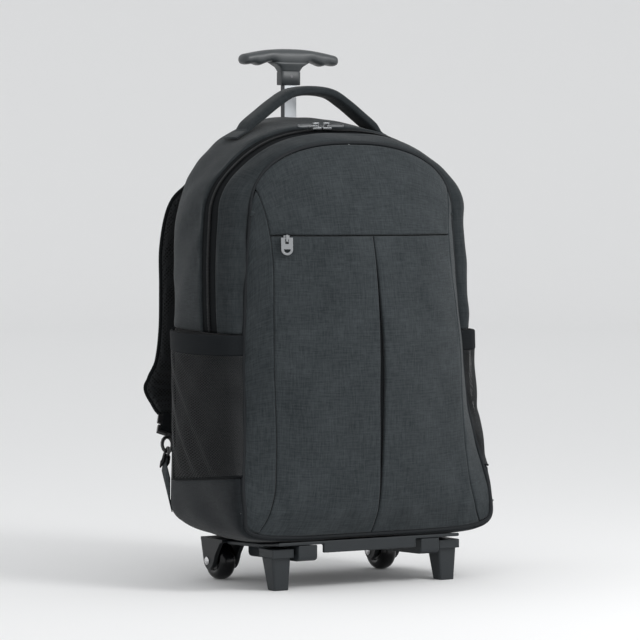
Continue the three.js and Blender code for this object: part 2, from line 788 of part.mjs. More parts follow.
function buildGrip() {
  const rings = [];
  const gripLow = neckTop - 1.6;
  for (const share of [-1, -0.985, -0.94, -0.88, -0.76, -0.64, -0.52, -0.39, -0.2, 0, 0.2, 0.39, 0.52, 0.64, 0.76, 0.88,
    0.94, 0.985, 1]) {
    const wide = Math.abs(share);
    const end = Math.max((wide - 0.94) / 0.06, 0);
    const shrink = Math.sqrt(Math.max(1 - end * end * 0.8, 0.05));
    const high = gripHeight + gripEndThickness / 2 + gripArch * tableValue(gripRows, 'top', wide);
    const low = gripLow + gripWave * tableValue(gripRows, 'wave', wide);
    const centre = vector(share * gripHalfLength, poleBack, (high + low) / 2);
    rings.push(sectionRing(centre, vector(0, 1, 0), vector(0, 0, 1), (gripDepth / 2) * shrink,
      ((high - low) / 2) * shrink, 10, 0.75));
  }
  const bar = loft(rings);
  const neck = box(neckWidth, neckDepth, neckHeight, 0, poleBack, (neckTop + neckBottom) / 2);
  const collar = [[neckTop - 6, 0, 0], [neckTop - 1, 2, 1], [neckTop + 3, 8, 3]];
  const flare = loft(collar.map(([z, wider, deeper]) => sectionRing(vector(0, poleBack, z), vector(1, 0, 0),
    vector(0, 1, 0), (neckWidth - 0.4) / 2 + wider, (neckDepth - 0.4) / 2 + deeper, 12, 0.25)));
  const socketTop = (neckBottom + neckTop) / 2 + 4 + seamGap;
  const socket = box(poleWidth + 2 * seamGap, poleThickness + 2 * seamGap, socketTop - neckBottom + 2,
    0, poleBack, (socketTop + neckBottom) / 2 - 1);
  const screwX = 0;
  const screwZ = neckBottom + neckHeight * 0.45;
  const seat = new THREE.CylinderGeometry(2, 2, 2, 10);
  seat.translate(screwX, poleBack - neckDepth / 2, screwZ);
  addPiece('grip', cut(join(bar, neck, flare), socket, seat), 'plastic');
  const screw = new THREE.CylinderGeometry(1.7, 1.7, 0.9, 10);
  screw.translate(screwX, poleBack - neckDepth / 2 + 0.25, screwZ);
  addPiece('grip_screw', screw, 'metal');
}

// Padded carry handle, sewn to the top of the rear gusset at both feet
function buildCarryHandle() {
  const depth = (carryBack + frontDepth) / bagDepth;
  const footOuter = placeAtTop(carryHalfSpan + 7, depth);
  const footInner = placeAtTop(carryHalfSpan - 4, depth);
  const thin = 4;
  const lift = thin / 2 + seamGap + 0.5;
  const points = [];
  for (const place of [footOuter, footInner]) points.push(offsetPoint(gusset, place, depth, lift));
  const spanRows = [
    { x: 0.86, z: 35 },
    { x: 0.7, z: 25 },
    { x: 0.5, z: 13 },
    { x: 0.28, z: 2.8 },
  ];
  for (const row of spanRows) points.push(vector(row.x * carryHalfSpan, carryBack, backTop + carryRise - row.z));
  points.push(vector(0, carryBack, backTop + carryRise));
  const mirrored = points.slice(0, -1).reverse().map((p) => vector(-p.x, p.y, p.z));
  const path = [...points, ...mirrored];
  const last = path.length - 1;
  const rings = path.map((centre, i) => {
    const along = path[Math.min(i + 1, last)].clone().sub(path[Math.max(i - 1, 0)]).normalize();
    const across = vector(0, 1, 0);
    const through = across.clone().cross(along).normalize();
    const fromEnd = Math.min(i, last - i);
    const thick = fromEnd === 0 ? thin : fromEnd === 1 ? thin + 1 : carryThickness;
    return sectionRing(centre, across, through, carryWidth / 2, thick / 2, 8, 0.6);
  });
  addPiece('carry_handle', loft(rings), 'cloth');
}

// Shoulder straps, sewn to the top of the back panel and hooked to wings at its lower corners
const strapRows = [
  { across: 0.394, bow: 0.0612, up: 0.8051, width: 1 },
  { across: 0.409, bow: 0.1489, up: 0.8376, width: 1 },
  { across: 0.449, bow: 0.4274, up: 0.8538, width: 1 },
  { across: 0.520, bow: 0.7233, up: 0.8190, width: 1 },
  { across: 0.598, bow: 0.9078, up: 0.7726, width: 1 },
  { across: 0.669, bow: 0.8895, up: 0.6845, width: 1 },
  { across: 0.693, bow: 0.7982, up: 0.5916, width: 1 },
  { across: 0.709, bow: 0.7616, up: 0.4872, width: 1 },
  { across: 0.748, bow: 0.8347, up: 0.4060, width: 0.94 },
  { across: 0.811, bow: 0.9626, up: 0.3550, width: 0.9 },
  { across: 0.843, bow: 1.0000, up: 0.3295, width: 0.82 },
  { across: 0.866, bow: 0.8986, up: 0.3016, width: 0.5 },
  { across: 0.866, bow: 0.7854, up: 0.2831, width: 0.36 },
];

// A point of the harness from shares: across the back, out from its pad and up the back
function harnessPoint(sign, row) {
  return vector(sign * row.across * backHalfWidth, backDepth + backPadThickness + row.bow * strapBow,
    THREE.MathUtils.lerp(backBottom, backTop, row.up));
}

function strapPath(sign) {
  return strapRows.map((row) => harnessPoint(sign, row));
}

function buildStrap(name, sign) {
  const curve = new THREE.CatmullRomCurve3(strapPath(sign), false, 'centripetal');
  const count = 17;
  const rings = spread(0, 1, count).map((t) => {
    const centre = curve.getPoint(t);
    const along = curve.getTangent(t);
    const across = vector(1, 0, 0).addScaledVector(along, -along.x).normalize();
    const through = across.clone().cross(along).normalize();
    const row = t * (strapRows.length - 1);
    const low = Math.min(Math.floor(row), strapRows.length - 2);
    const share = THREE.MathUtils.lerp(strapRows[low].width, strapRows[low + 1].width, row - low);
    const ends = Math.min(t, 1 - t) / 0.06;
    const thick = strapThickness * Math.min(1, 0.45 + 0.55 * ends);
    return sectionRing(centre, across, through, (strapWidth * share) / 2, thick / 2, 8, 0.6);
  });
  addPiece(`shoulder_strap_${name}`, loft(rings), 'black_cloth');
}

// Harness fittings hang in line from the strap's tip to the wing's tip
function placeFitting(geometry, origin, across, along) {
  const through = along.clone().cross(across).normalize();
  const matrix = new THREE.Matrix4().makeBasis(across, through, along).setPosition(origin);
  geometry.applyMatrix4(matrix);
  return geometry;
}

// A closed ring of round wire through centres that lie in one plane
function wireRing(centres, flat, radius) {
  const count = centres.length;
  const rings = centres.map((centre, i) => {
    const along = centres[(i + 1) % count].clone().sub(centres[(i + count - 1) % count]).normalize();
    return sectionRing(centre, flat, flat.clone().cross(along), radius, radius, 6, 1);
  });
  return loft(rings, true);
}

// An upright oval in the local XZ plane
function ovalCentres(halfWidth, halfHeight, z) {
  return spread(0, 2 * Math.PI, 14).slice(0, 14).map((angle) =>
    vector(Math.cos(angle) * halfWidth, 0, z + Math.sin(angle) * halfHeight));
}

// A D in the local YZ plane, its straight bar at the bottom
function dCentres(halfWidth, height) {
  const bow = spread(0, Math.PI, 8).map((angle) =>
    vector(0, Math.cos(angle) * halfWidth, 2 + Math.sin(angle) * (height - 2)));
  return [vector(0, halfWidth - 1, 0), ...bow, vector(0, 1 - halfWidth, 0), vector(0, 0, 0)];
}

// A webbing strip folded round a bar, its legs standing up from the bar by a length
function hairpin(width, barRadius, legLength, wall, z) {
  const inner = barRadius + seamGap;
  const outer = inner + wall;
  const shape = new THREE.Shape();
  shape.moveTo(-outer, legLength);
  shape.lineTo(-outer, 0);
  shape.absarc(0, 0, outer, Math.PI, 2 * Math.PI, false);
  shape.lineTo(outer, legLength);
  shape.lineTo(inner, legLength);
  shape.lineTo(inner, 0);
  shape.absarc(0, 0, inner, 2 * Math.PI, Math.PI, true);
  shape.lineTo(-inner, legLength);
  shape.closePath();
  const geometry = new THREE.ExtrudeGeometry(shape, { depth: width, bevelEnabled: false, curveSegments: 6 });
  geometry.translate(0, 0, -width / 2);
  geometry.rotateX(Math.PI / 2);
  geometry.rotateZ(Math.PI / 2);
  geometry.translate(0, 0, z);
  return geometry;
}

const wingTip = { across: 1.063, bow: 0.0913, up: 0.1787 };
const strapTip = { across: 0.866, bow: 0.7123, up: 0.2761 };

function buildHarnessFittings(name, sign) {
  const tip = harnessPoint(sign, wingTip);
  const top = harnessPoint(sign, strapTip);
  const along = top.clone().sub(tip).normalize();
  const across = vector(1, 0, 0).addScaledVector(along, -along.x).normalize();
  const length = top.distanceTo(tip);
  const put = (geometry) => placeFitting(geometry, tip, across, along);

  const ringHeight = 15;
  const ringWire = wireRing(dCentres(9, ringHeight), vector(1, 0, 0), wireRadius);
  addPiece(`d_ring_${name}`, put(ringWire), 'plastic');

  const hookHalfHeight = 10;
  const hookCentre = ringHeight - wireRadius - 2 - 0.5 + hookHalfHeight;
  const hookTop = hookCentre + hookHalfHeight;
  const barHeight = hookTop + 8.4;
  const swivel = new THREE.CylinderGeometry(2.6, 2.6, 4, 10);
  swivel.rotateX(Math.PI / 2);
  swivel.translate(0, 0, hookTop + 1.6);
  const eyeHalf = webbingWidth / 2 + 1;
  const eyeBase = box(2 * eyeHalf + 4, 4, 2.6, 0, 0, hookTop + 3.4);
  const eyePosts = [-1, 1].map((s) => box(2.4, 4, 8, s * (eyeHalf + 0.8), 0, barHeight - 2.2));
  const eyeBar = box(2 * eyeHalf + 4, 2 * wireRadius, 2 * wireRadius, 0, 0, barHeight + 1.6);
  const hookWire = wireRing(ovalCentres(5.6, hookHalfHeight, hookCentre), vector(0, 1, 0), 2);
  const hook = join(hookWire, swivel, eyeBase, ...eyePosts, eyeBar);
  addPiece(`snap_hook_${name}`, put(hook), 'plastic');

  const legTop = length + 0.5;
  const barCentre = barHeight + 1.6;
  const legs = hairpin(webbingWidth - 1, wireRadius * Math.SQRT2, legTop - barCentre, webbingWall, barCentre);
  addPiece(`lower_webbing_${name}`, put(legs), 'black_cloth');

  const lockBottom = barCentre + 5;
  const lockTop = lockBottom + 11;
  const frame = box(webbingWidth + 8, 2 * wireRadius, lockTop - lockBottom, 0, 0, (lockTop + lockBottom) / 2);
  addPiece(`ladder_lock_${name}`, put(frame), 'plastic');

  buildWing(name, sign, tip, along, across);
}

// Triangular wing of cloth from the lower back seam to the ring, with a folded tab round the ring
function buildWing(name, sign, tip, along, across) {
  const tabLeg = 8;
  const tab = hairpin(12, wireRadius, tabLeg, webbingWall, 0);
  tab.rotateZ(Math.PI / 2);
  tab.rotateX(Math.PI);
  addPiece(`anchor_tab_${name}`, placeFitting(tab, tip, across, along), 'black_cloth');
  const thick = 1.5;
  const halfTip = 6;
  const through = along.clone().cross(across).normalize();
  const tipEdge = (drop, aside) => tip.clone().addScaledVector(along, -drop).addScaledVector(through, aside);
  const seamPoint = (place) => {
    const [x, z] = outlinePoint(place, backShape);
    return vector(sign * (x + thick / 2 + 6 * seamGap), backDepth + 2 * seamGap, z);
  };
  const [lowPlace, highPlace] = [bottomShare * 0.82, bottomShare + 0.02];
  const low = seamPoint(lowPlace);
  const high = seamPoint(highPlace);
  const clear = wireRadius + seamGap;
  const ends = [
    [low, tipEdge(tabLeg + 3, halfTip)],
    [seamPoint((lowPlace + highPlace) / 2), tipEdge(tabLeg + 3, 0)],
    [high, tipEdge(tabLeg + 3, -halfTip)],
  ];
  const rows = [0, 0.5, 1].map((share) => ends.map(([seam, free]) => seam.clone().lerp(free, share)));
  rows.push([halfTip, 0, -halfTip].map((aside) => tipEdge(clear, aside)));
  const flats = [vector(1, 0, 0), vector(1, 0, 0).lerp(across, 0.5), across, across];
  const outer = rows.map((row, i) => row.map((p) => p.clone().addScaledVector(flats[i], thick / 2)));
  const inner = rows.map((row, i) => row.map((p) => p.clone().addScaledVector(flats[i], -thick / 2)));
  addPiece(`anchor_wing_${name}`, sheet(outer, inner), 'cloth');
}

// Height of the lowest cloth over the base at a depth, between two distances from the middle
function undersideAt(y, fromX, toX) {
  const depth = THREE.MathUtils.clamp((y + frontDepth + frontLean) / (bagDepth + frontLean), 0.03, 0.97);
  const placeAt = (x) => solve(0, bottomShare, x, (place) => gusset(place, depth).x);
  return Math.min(...spread(placeAt(fromX), placeAt(toX), 4).map((place) => gusset(place, depth).z));
}

// Base plate with a front lip, runners and feet under the bag; all tops follow the cloth above
const plateRear = wheelBack - wheelReach - 1;
const plateSteps = spread(plateFront, plateRear, 6);
const plateUnder = plateSteps.map((y) => undersideAt(y, 0, plateHalfWidth) - seamGap);

function plateTopAt(y) {
  const at = THREE.MathUtils.clamp(((y - plateFront) / (plateRear - plateFront)) * 6, 0, 5.999);
  const i = Math.floor(at);
  return THREE.MathUtils.lerp(plateUnder[i], plateUnder[i + 1], at - i);
}

function buildBase() {
  const plateShape = new THREE.Shape();
  plateShape.moveTo(plateFront, plateTopAt(plateFront) - plateThickness);
  for (const y of plateSteps.slice(1)) plateShape.lineTo(y, plateTopAt(y) - plateThickness);
  for (const y of [...plateSteps].reverse()) plateShape.lineTo(y, plateTopAt(y));
  plateShape.closePath();
  const plate = extrudedAlongX(plateShape, 2 * plateHalfWidth, -plateHalfWidth);
  const lipTop = plateTopAt(plateFront) - plateThickness + 1;
  const lip = box(2 * lipHalfWidth, 4, lipHeight, 0, plateFront + 2, lipTop - lipHeight / 2);
  addPiece('base_plate', join(plate, lip), 'plastic');

  for (const { name, sign } of sides) {
    const shape = new THREE.Shape();
    const topAt = (y) => plateTopAt(y) - plateThickness - seamGap;
    const low = topAt(plateFront) - runnerHeight;
    const round = 6;
    const rear = plateRear - 1;
    shape.moveTo(plateFront + 1, topAt(plateFront + 1));
    shape.lineTo(plateFront + 1, low + round + 2);
    shape.quadraticCurveTo(plateFront + 1, low + 3, plateFront + 1 + round, low + 2.5);
    shape.lineTo(rear - round, low);
    shape.quadraticCurveTo(rear, low, rear, low + round);
    for (const y of [rear, ...plateSteps.slice(1, -1).reverse()]) shape.lineTo(y, topAt(y));
    shape.closePath();
    const runner = extrudedAlongX(shape, runnerWidth, sign * runnerCentre - runnerWidth / 2);
    addPiece(`runner_${name}`, runner, 'plastic');

    const top = topAt(footFront + footTopDepth + 2);
    const headBottom = top - footHeadHeight;
    const ringAt = (z, width, depth) => {
      const bevel = 1.5;
      const x0 = sign * footCentre - width / 2;
      const x1 = sign * footCentre + width / 2;
      const y0 = footFront;
      const y1 = footFront + depth;
      return [
        vector(x0 + bevel, y0, z), vector(x1 - bevel, y0, z), vector(x1, y0 + bevel, z), vector(x1, y1 - bevel, z),
        vector(x1 - bevel, y1, z), vector(x0 + bevel, y1, z), vector(x0, y1 - bevel, z), vector(x0, y0 + bevel, z),
      ];
    };
    const leg = loft([
      ringAt(0, footSoleWidth, footSoleDepth),
      ringAt(headBottom + 1, footTopWidth, footTopDepth),
    ]);
    const clear = runnerCentre + runnerWidth / 2 + seamGap;
    const headInner = Math.max(footCentre - footHeadWidth / 2, clear);
    const headOuter = footCentre + footHeadWidth / 2;
    const head = box(headOuter - headInner, footTopDepth + 5, footHeadHeight, (sign * (headOuter + headInner)) / 2,
      footFront + footTopDepth / 2 - 1, headBottom + footHeadHeight / 2);
    addPiece(`foot_${name}`, join(leg, head), 'plastic');
  }
}

// A wheel between the two cheeks of its housing, on a screwed axle
function buildWheel(name, sign) {
  const x = sign * wheelCentre;
  const half = wheelWidth / 2;
  const tyre = [
    [tyreBore, -half + 1], [wheelRadius * 0.66, -half], [wheelRadius * 0.85, -half * 0.8], [wheelRadius * 0.965, -half * 0.42],
    [wheelRadius, 0],
    [wheelRadius * 0.965, half * 0.42], [wheelRadius * 0.85, half * 0.8], [wheelRadius * 0.66, half], [tyreBore, half - 1],
    [tyreBore, -half + 1],
  ];
  addPiece(`wheel_tyre_${name}`, turnedAboutX(tyre, 20, x, wheelBack, wheelRadius), 'rubber');
  const hubRadius = tyreBore - seamGap;
  const hub = [
    [hubBore, -half + 0.4], [hubBore + 2.4, -half + 0.4], [hubBore + 2.4, -half + 2.4], [hubRadius, -half + 2.4],
    [hubRadius, half - 2.4], [hubBore + 2.4, half - 2.4], [hubBore + 2.4, half - 0.4], [hubBore, half - 0.4],
    [hubBore, -half + 0.4],
  ];
  addPiece(`wheel_hub_${name}`, turnedAboutX(hub, 14, x, wheelBack, wheelRadius), 'plastic');

  const inside = half + cheekGap;
  const outside = inside + cheekThickness;
  const housingEnds = [wheelBack - wheelReach, wheelBack + 14];
  const housingTop = Math.min(...housingEnds.map((y) => undersideAt(y, wheelCentre - 16, wheelCentre + 16))) - seamGap;
  const crown = wheelRadius * 2 + 1.2;
  const shape = new THREE.Shape();
  shape.moveTo(wheelBack - wheelReach, housingTop);
  shape.lineTo(wheelBack - wheelReach + 6, crown - 2);
  shape.lineTo(wheelBack - 16, wheelRadius + 7);
  shape.quadraticCurveTo(wheelBack - 12, wheelRadius - 6, wheelBack - 4, wheelRadius - 9);
  shape.quadraticCurveTo(wheelBack + 5, wheelRadius - 9, wheelBack + 8, wheelRadius);
  shape.lineTo(wheelBack + 12.5, crown - 4);
  shape.lineTo(wheelBack + 14, housingTop);
  shape.closePath();
  const cheeks = [-outside, inside].map((start) => extrudedAlongX(shape, cheekThickness, x + start));
  const crownHeight = housingTop - crown;
  const bridge = box(2 * outside, 45, crownHeight, x, wheelBack - 8.5, housingTop - crownHeight / 2);
  const bore = new THREE.CylinderGeometry(axleRadius + seamGap, axleRadius + seamGap, 4 * outside, 12);
  bore.rotateZ(Math.PI / 2);
  bore.translate(x, wheelBack, wheelRadius);
  addPiece(`wheel_housing_${name}`, cut(join(...cheeks, bridge), bore), 'plastic');

  const headAt = outside + seamGap;
  const headThickness = 1.8;
  const axle = [
    [0, -headAt - headThickness], [axleHeadRadius - 1, -headAt - headThickness], [axleHeadRadius, -headAt - 0.6],
    [axleHeadRadius, -headAt], [axleRadius, -headAt], [axleRadius, headAt], [axleHeadRadius, headAt],
    [axleHeadRadius, headAt + 0.6], [axleHeadRadius - 1, headAt + headThickness], [0, headAt + headThickness],
  ];
  addPiece(`axle_${name}`, turnedAboutX(axle, 10, x, wheelBack, wheelRadius), 'metal');
}

// A zip slider with an arched bridge, in its own frame: X across the pull, Y off the cloth, Z up the pull
function sliderGeometry(length, width) {
  const body = box(width, 2.4, length, 0, 1.2, 0);
  const posts = [-1, 1].map((s) => box(2, 4.4, 1.3, 0, 3.6, s * 2.8));
  const bar = box(2, 1.3, 6.9, 0, 6.1, 0);
  return join(body, ...posts, bar);
}

// A pull tab hanging from a bar through the bridge, with a hole near its free end
function pullGeometry(width, length) {
  const shape = new THREE.Shape();
  const half = width / 2;
  shape.moveTo(-half, 1);
  shape.lineTo(half, 1);
  shape.lineTo(half, -length + half);
  shape.absarc(0, -length + half, half, 0, -Math.PI, true);
  shape.closePath();
  const slot = new THREE.Path();
  slot.moveTo(-1.7, -0.9);
  slot.lineTo(-1.7, -5.4);
  slot.lineTo(1.7, -5.4);
  slot.lineTo(1.7, -0.9);
  slot.closePath();
  const eye = new THREE.Path();
  eye.absarc(0, -length + half, half * 0.58, Math.PI, 2 * Math.PI, false);
  eye.closePath();
  shape.holes.push(slot, eye);
  const geometry = new THREE.ExtrudeGeometry(shape, { depth: pullThickness, bevelEnabled: false, curveSegments: 6 });
  geometry.translate(0, 0, -pullThickness / 2);
  geometry.rotateX(Math.PI / 2);
  return geometry;
}

// A slider and its pull on a surface, the pull's free end lying away from "up"
function placeZipSet(setName, point, off, up, slider, pull) {
  const across = off.clone().cross(up).normalize();
  const upward = across.clone().cross(off).normalize();
  const matrix = new THREE.Matrix4().makeBasis(across, off, upward).setPosition(point);
  slider.applyMatrix4(matrix);
  addPiece(`${setName}_slider`, slider, 'metal');
  const barHeight = 4;
  const mesh = addPiece(`${setName}_pull`, pull, 'metal');
  mesh.quaternion.setFromRotationMatrix(matrix);
  mesh.position.copy(point).addScaledVector(off, barHeight);
}

function buildZipSets() {
  const topZip = (zipFront + zipRear) / 2;
  const sets = [
    { name: 'main_left', x: -24, sign: 1 },
    { name: 'main_right', x: -12, sign: -1 },
  ];
  for (const { name, x, sign } of sets) {
    const place = placeAtTop(x, topZip);
    const off = normalAt(gusset, place, topZip);
    const point = offsetPoint(gusset, place, topZip, seamGap);
    const up = vector(sign, 0, 0);
    placeZipSet(name, point, off, up, sliderGeometry(10.5, 8), pullGeometry(topPullWidth, topPullLength));
  }
  const across = -0.74;
  const up = upAtHeight(pocketZipHeight - 3.8, () => across);
  const off = normalAt(frontFace, across, up);
  const point = offsetPoint(frontFace, across, up, seamGap);
  placeZipSet('front', point, off, vector(0, 0, 1), sliderGeometry(7, 6), pullGeometry(frontPullWidth, frontPullLength));
}

// Place round the bag near the top centre where the gusset crosses a given X
function placeAtTop(x, depth) {
  return solve(0.62, 1.38, -x, (place) => -gusset(place, depth).x);
}

buildBackPanel();
buildGussets();
buildSidePanels();
buildSidePockets();
buildPiping();
buildFront();
buildPole();
buildGrip();
buildCarryHandle();
for (const { name, sign } of sides) {
  buildStrap(name, sign);
  buildHarnessFittings(name, sign);
  buildWheel(name, sign);
}
buildBase();
buildZipSets();

// The origin goes to the bottom centre of the whole part
group.updateMatrixWorld(true);
const extent = new THREE.Box3().setFromObject(group, true);
group.position.y = -(extent.min.y + extent.max.y) / 2;
group.updateMatrixWorld(true);

export default group;
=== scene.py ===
import bpy
import bmesh
import math
import numpy as np
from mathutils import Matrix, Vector


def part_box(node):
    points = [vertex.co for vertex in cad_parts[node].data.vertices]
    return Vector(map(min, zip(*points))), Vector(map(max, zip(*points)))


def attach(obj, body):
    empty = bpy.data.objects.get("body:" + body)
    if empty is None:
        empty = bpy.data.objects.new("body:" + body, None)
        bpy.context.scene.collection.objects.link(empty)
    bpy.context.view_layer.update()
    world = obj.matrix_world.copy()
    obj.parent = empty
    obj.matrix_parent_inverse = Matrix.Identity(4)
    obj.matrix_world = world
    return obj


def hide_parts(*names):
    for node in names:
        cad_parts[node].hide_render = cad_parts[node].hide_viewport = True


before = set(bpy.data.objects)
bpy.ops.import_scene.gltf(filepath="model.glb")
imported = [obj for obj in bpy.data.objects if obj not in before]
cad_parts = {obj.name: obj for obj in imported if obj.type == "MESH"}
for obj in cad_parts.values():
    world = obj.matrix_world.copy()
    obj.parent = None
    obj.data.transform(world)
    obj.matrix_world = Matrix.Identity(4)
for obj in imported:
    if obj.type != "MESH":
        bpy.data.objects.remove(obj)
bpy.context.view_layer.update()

# The studio: a camera low on the bag's front left, a pale paper sweep whose wall stands behind
# every camera, also with the pole drawn out, and soft lights above and in front of the bag.
view_turn = math.radians(-31)
camera = bpy.data.objects.new("camera", bpy.data.cameras.new("camera"))
bpy.context.scene.collection.objects.link(camera)
bpy.context.scene.camera = camera
camera.location = (-1.8719, -3.1248, 0.3979)
camera.rotation_euler = (math.radians(90 - 2.05), 0, view_turn)
camera.data.sensor_width = 36
camera.data.lens = 36 * 3500 / 640
camera.data.clip_end = 60
bpy.context.scene.view_settings.view_transform = "Standard"

floor_depth, wall_height, bend = 7.0, 9.0, 1.4
profile = [(-9.0, 0.0), (floor_depth, 0.0)]
for step in range(1, 17):
    angle = step / 16 * math.pi / 2
    profile.append((floor_depth + bend * math.sin(angle), bend * (1 - math.cos(angle))))
profile.append((floor_depth + bend, wall_height))
sweep_mesh = bpy.data.meshes.new("studio_sweep")
corners = []
for out, high in profile:
    for aside in (-9.0, 9.0):
        corners.append((aside * math.cos(view_turn) - out * math.sin(view_turn),
                        aside * math.sin(view_turn) + out * math.cos(view_turn), high))
sweep_mesh.from_pydata(corners, [], [(2 * i, 2 * i + 1, 2 * i + 3, 2 * i + 2) for i in range(len(profile) - 1)])
sweep_mesh.polygons.foreach_set("use_smooth", [True] * len(sweep_mesh.polygons))
sweep = bpy.data.objects.new("studio_sweep", sweep_mesh)
bpy.context.scene.collection.objects.link(sweep)
paper = bpy.data.materials.new("studio_paper")
paper.use_nodes = True
paper_shader = paper.node_tree.nodes["Principled BSDF"]
paper_shader.inputs["Base Color"].default_value = (0.86, 0.86, 0.86, 1)
paper_shader.inputs["Roughness"].default_value = 0.9
paper_shader.inputs["Specular IOR Level"].default_value = 0.1
sweep_mesh.materials.append(paper)

world = bpy.data.worlds.new("studio_air")
bpy.context.scene.world = world
world.use_nodes = True
air = world.node_tree.nodes["Background"]
air.inputs["Color"].default_value = (0.98, 0.99, 1.0, 1)
air.inputs["Strength"].default_value = 0.87


def softbox(name, place, aim, size, power):
    lamp = bpy.data.lights.new(name, "AREA")
    lamp.shape = "DISK"
    lamp.size = size
    lamp.energy = power
    holder = bpy.data.objects.new(name, lamp)
    holder.location = place
    holder.rotation_euler = (Vector(aim) - Vector(place)).to_track_quat("-Z", "Y").to_euler()
    bpy.context.scene.collection.objects.link(holder)


softbox("key_light", (0.45, -0.95, 1.05), (0, -0.1, 0.52), 0.5, 7)
softbox("front_light", (1.4, -2.4, 1.0), (0, 0, 0.3), 1.4, 5)
softbox("rim_light", (-2.0, 1.2, 1.6), (0, 0, 0.4), 1.0, 1.5)


# The base: a plate, two runners and two feet moulded in dark grey plastic and screwed under the bag,
# with a fork for each wheel. Their edges are eased as on a moulding.
def add(material, kind, inputs=None, **settings):
    node = material.node_tree.nodes.new(kind)
    for key, value in settings.items():
        setattr(node, key, value)
    for key, value in (inputs or {}).items():
        if isinstance(value, bpy.types.NodeSocket):
            material.node_tree.links.new(value, node.inputs[key])
        else:
            node.inputs[key].default_value = value
    return node


def finish(name, roughness, colour, metallic=0.0, level=0.5):
    material = bpy.data.materials.new(name)
    material.use_nodes = True
    shader = material.node_tree.nodes["Principled BSDF"]
    shader.inputs["Base Color"].default_value = (*colour, 1)
    shader.inputs["Roughness"].default_value = roughness
    shader.inputs["Metallic"].default_value = metallic
    shader.inputs["Specular IOR Level"].default_value = level
    return material, shader


def bumped(material, shader, height, strength, distance):
    bump = add(material, "ShaderNodeBump", {"Height": height, "Strength": strength, "Distance": distance})
    material.node_tree.links.new(bump.outputs["Normal"], shader.inputs["Normal"])


def moulded(name, colour, roughness, grain, level=0.5):
    material, shader = finish(name, roughness, colour, level=level)
    link = material.node_tree.links.new
    where = add(material, "ShaderNodeTexCoord").outputs["Object"]
    cloud = add(material, "ShaderNodeTexNoise", {"Vector": where, "Scale": 60.0, "Detail": 3.0})
    tone = add(material, "ShaderNodeMix", {"Factor": cloud.outputs["Fac"]}, data_type="RGBA")
    tone.inputs[6].default_value = (*[c * 0.86 for c in colour], 1)
    tone.inputs[7].default_value = (*[min(c * 1.14, 1) for c in colour], 1)
    link(tone.outputs[2], shader.inputs["Base Color"])
    dull = add(material, "ShaderNodeMapRange",
               {"Value": cloud.outputs["Fac"], "To Min": roughness - 0.07, "To Max": roughness + 0.07})
    link(dull.outputs["Result"], shader.inputs["Roughness"])
    fine = add(material, "ShaderNodeTexNoise", {"Vector": where, "Scale": 1500.0, "Detail": 2.0})
    bumped(material, shader, fine.outputs["Fac"], grain, 0.0002)
    return material


def new_piece(name, mesh, material, body="bag"):
    piece = bpy.data.objects.new(name, mesh)
    bpy.context.scene.collection.objects.link(piece)
    mesh.materials.clear()
    mesh.materials.append(material)
    mesh.polygons.foreach_set("use_smooth", [True] * len(mesh.polygons))
    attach(piece, body)
    return piece


def merged_copy(node):
    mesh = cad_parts[node].data.copy()
    made = bmesh.new()
    made.from_mesh(mesh)
    bmesh.ops.remove_doubles(made, verts=made.verts, dist=2e-6)
    bmesh.ops.dissolve_limit(made, angle_limit=math.radians(2), verts=made.verts, edges=made.edges)
    made.to_mesh(mesh)
    made.free()
    mesh.name = node + "_shape"
    return mesh


def eased(node, material, ease, body="bag", angle=35):
    piece = new_piece(node + "_moulding", merged_copy(node), material, body)
    bevel = piece.modifiers.new("eased_edges", "BEVEL")
    bevel.width = ease
    bevel.segments = 2
    bevel.limit_method = "ANGLE"
    bevel.angle_limit = math.radians(angle)
    piece.modifiers.new("even_shading", "WEIGHTED_NORMAL")
    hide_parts(node)
    return piece


base_plastic = moulded("base_plastic", (0.022, 0.026, 0.029), 0.46, 0.35, level=0.3)
for node in ("base_plate", "runner_left", "runner_right", "foot_left", "foot_right"):
    eased(node, base_plastic, 0.0011)
fork_plastic = moulded("fork_plastic", (0.008, 0.0095, 0.011), 0.36, 0.25, level=0.3)
for node in ("wheel_housing_left", "wheel_housing_right"):
    eased(node, fork_plastic, 0.0009, angle=50)

# The wheels: a smooth black tyre pressed on a hub with a dished face, which turns on a steel axle.
# The axle ends in a domed rivet head on each cheek of the fork.


def turned(name, profile, centre, segments, material, body):
    made = bmesh.new()
    rings = []
    for k in range(segments):
        angle = 2 * math.pi * k / segments
        rings.append([made.verts.new((centre[0] + w, centre[1] + r * math.cos(angle), centre[2] + r * math.sin(angle)))
                      for w, r in profile])
    for k in range(segments):
        here, there = rings[k], rings[(k + 1) % segments]
        for i in range(len(profile)):
            j = (i + 1) % len(profile)
            made.faces.new((here[i], there[i], there[j], here[j]))
    bmesh.ops.remove_doubles(made, verts=made.verts, dist=1e-6)
    bmesh.ops.recalc_face_normals(made, faces=made.faces)
    mesh = bpy.data.meshes.new(name)
    made.to_mesh(mesh)
    made.free()
    return new_piece(name, mesh, material, body)


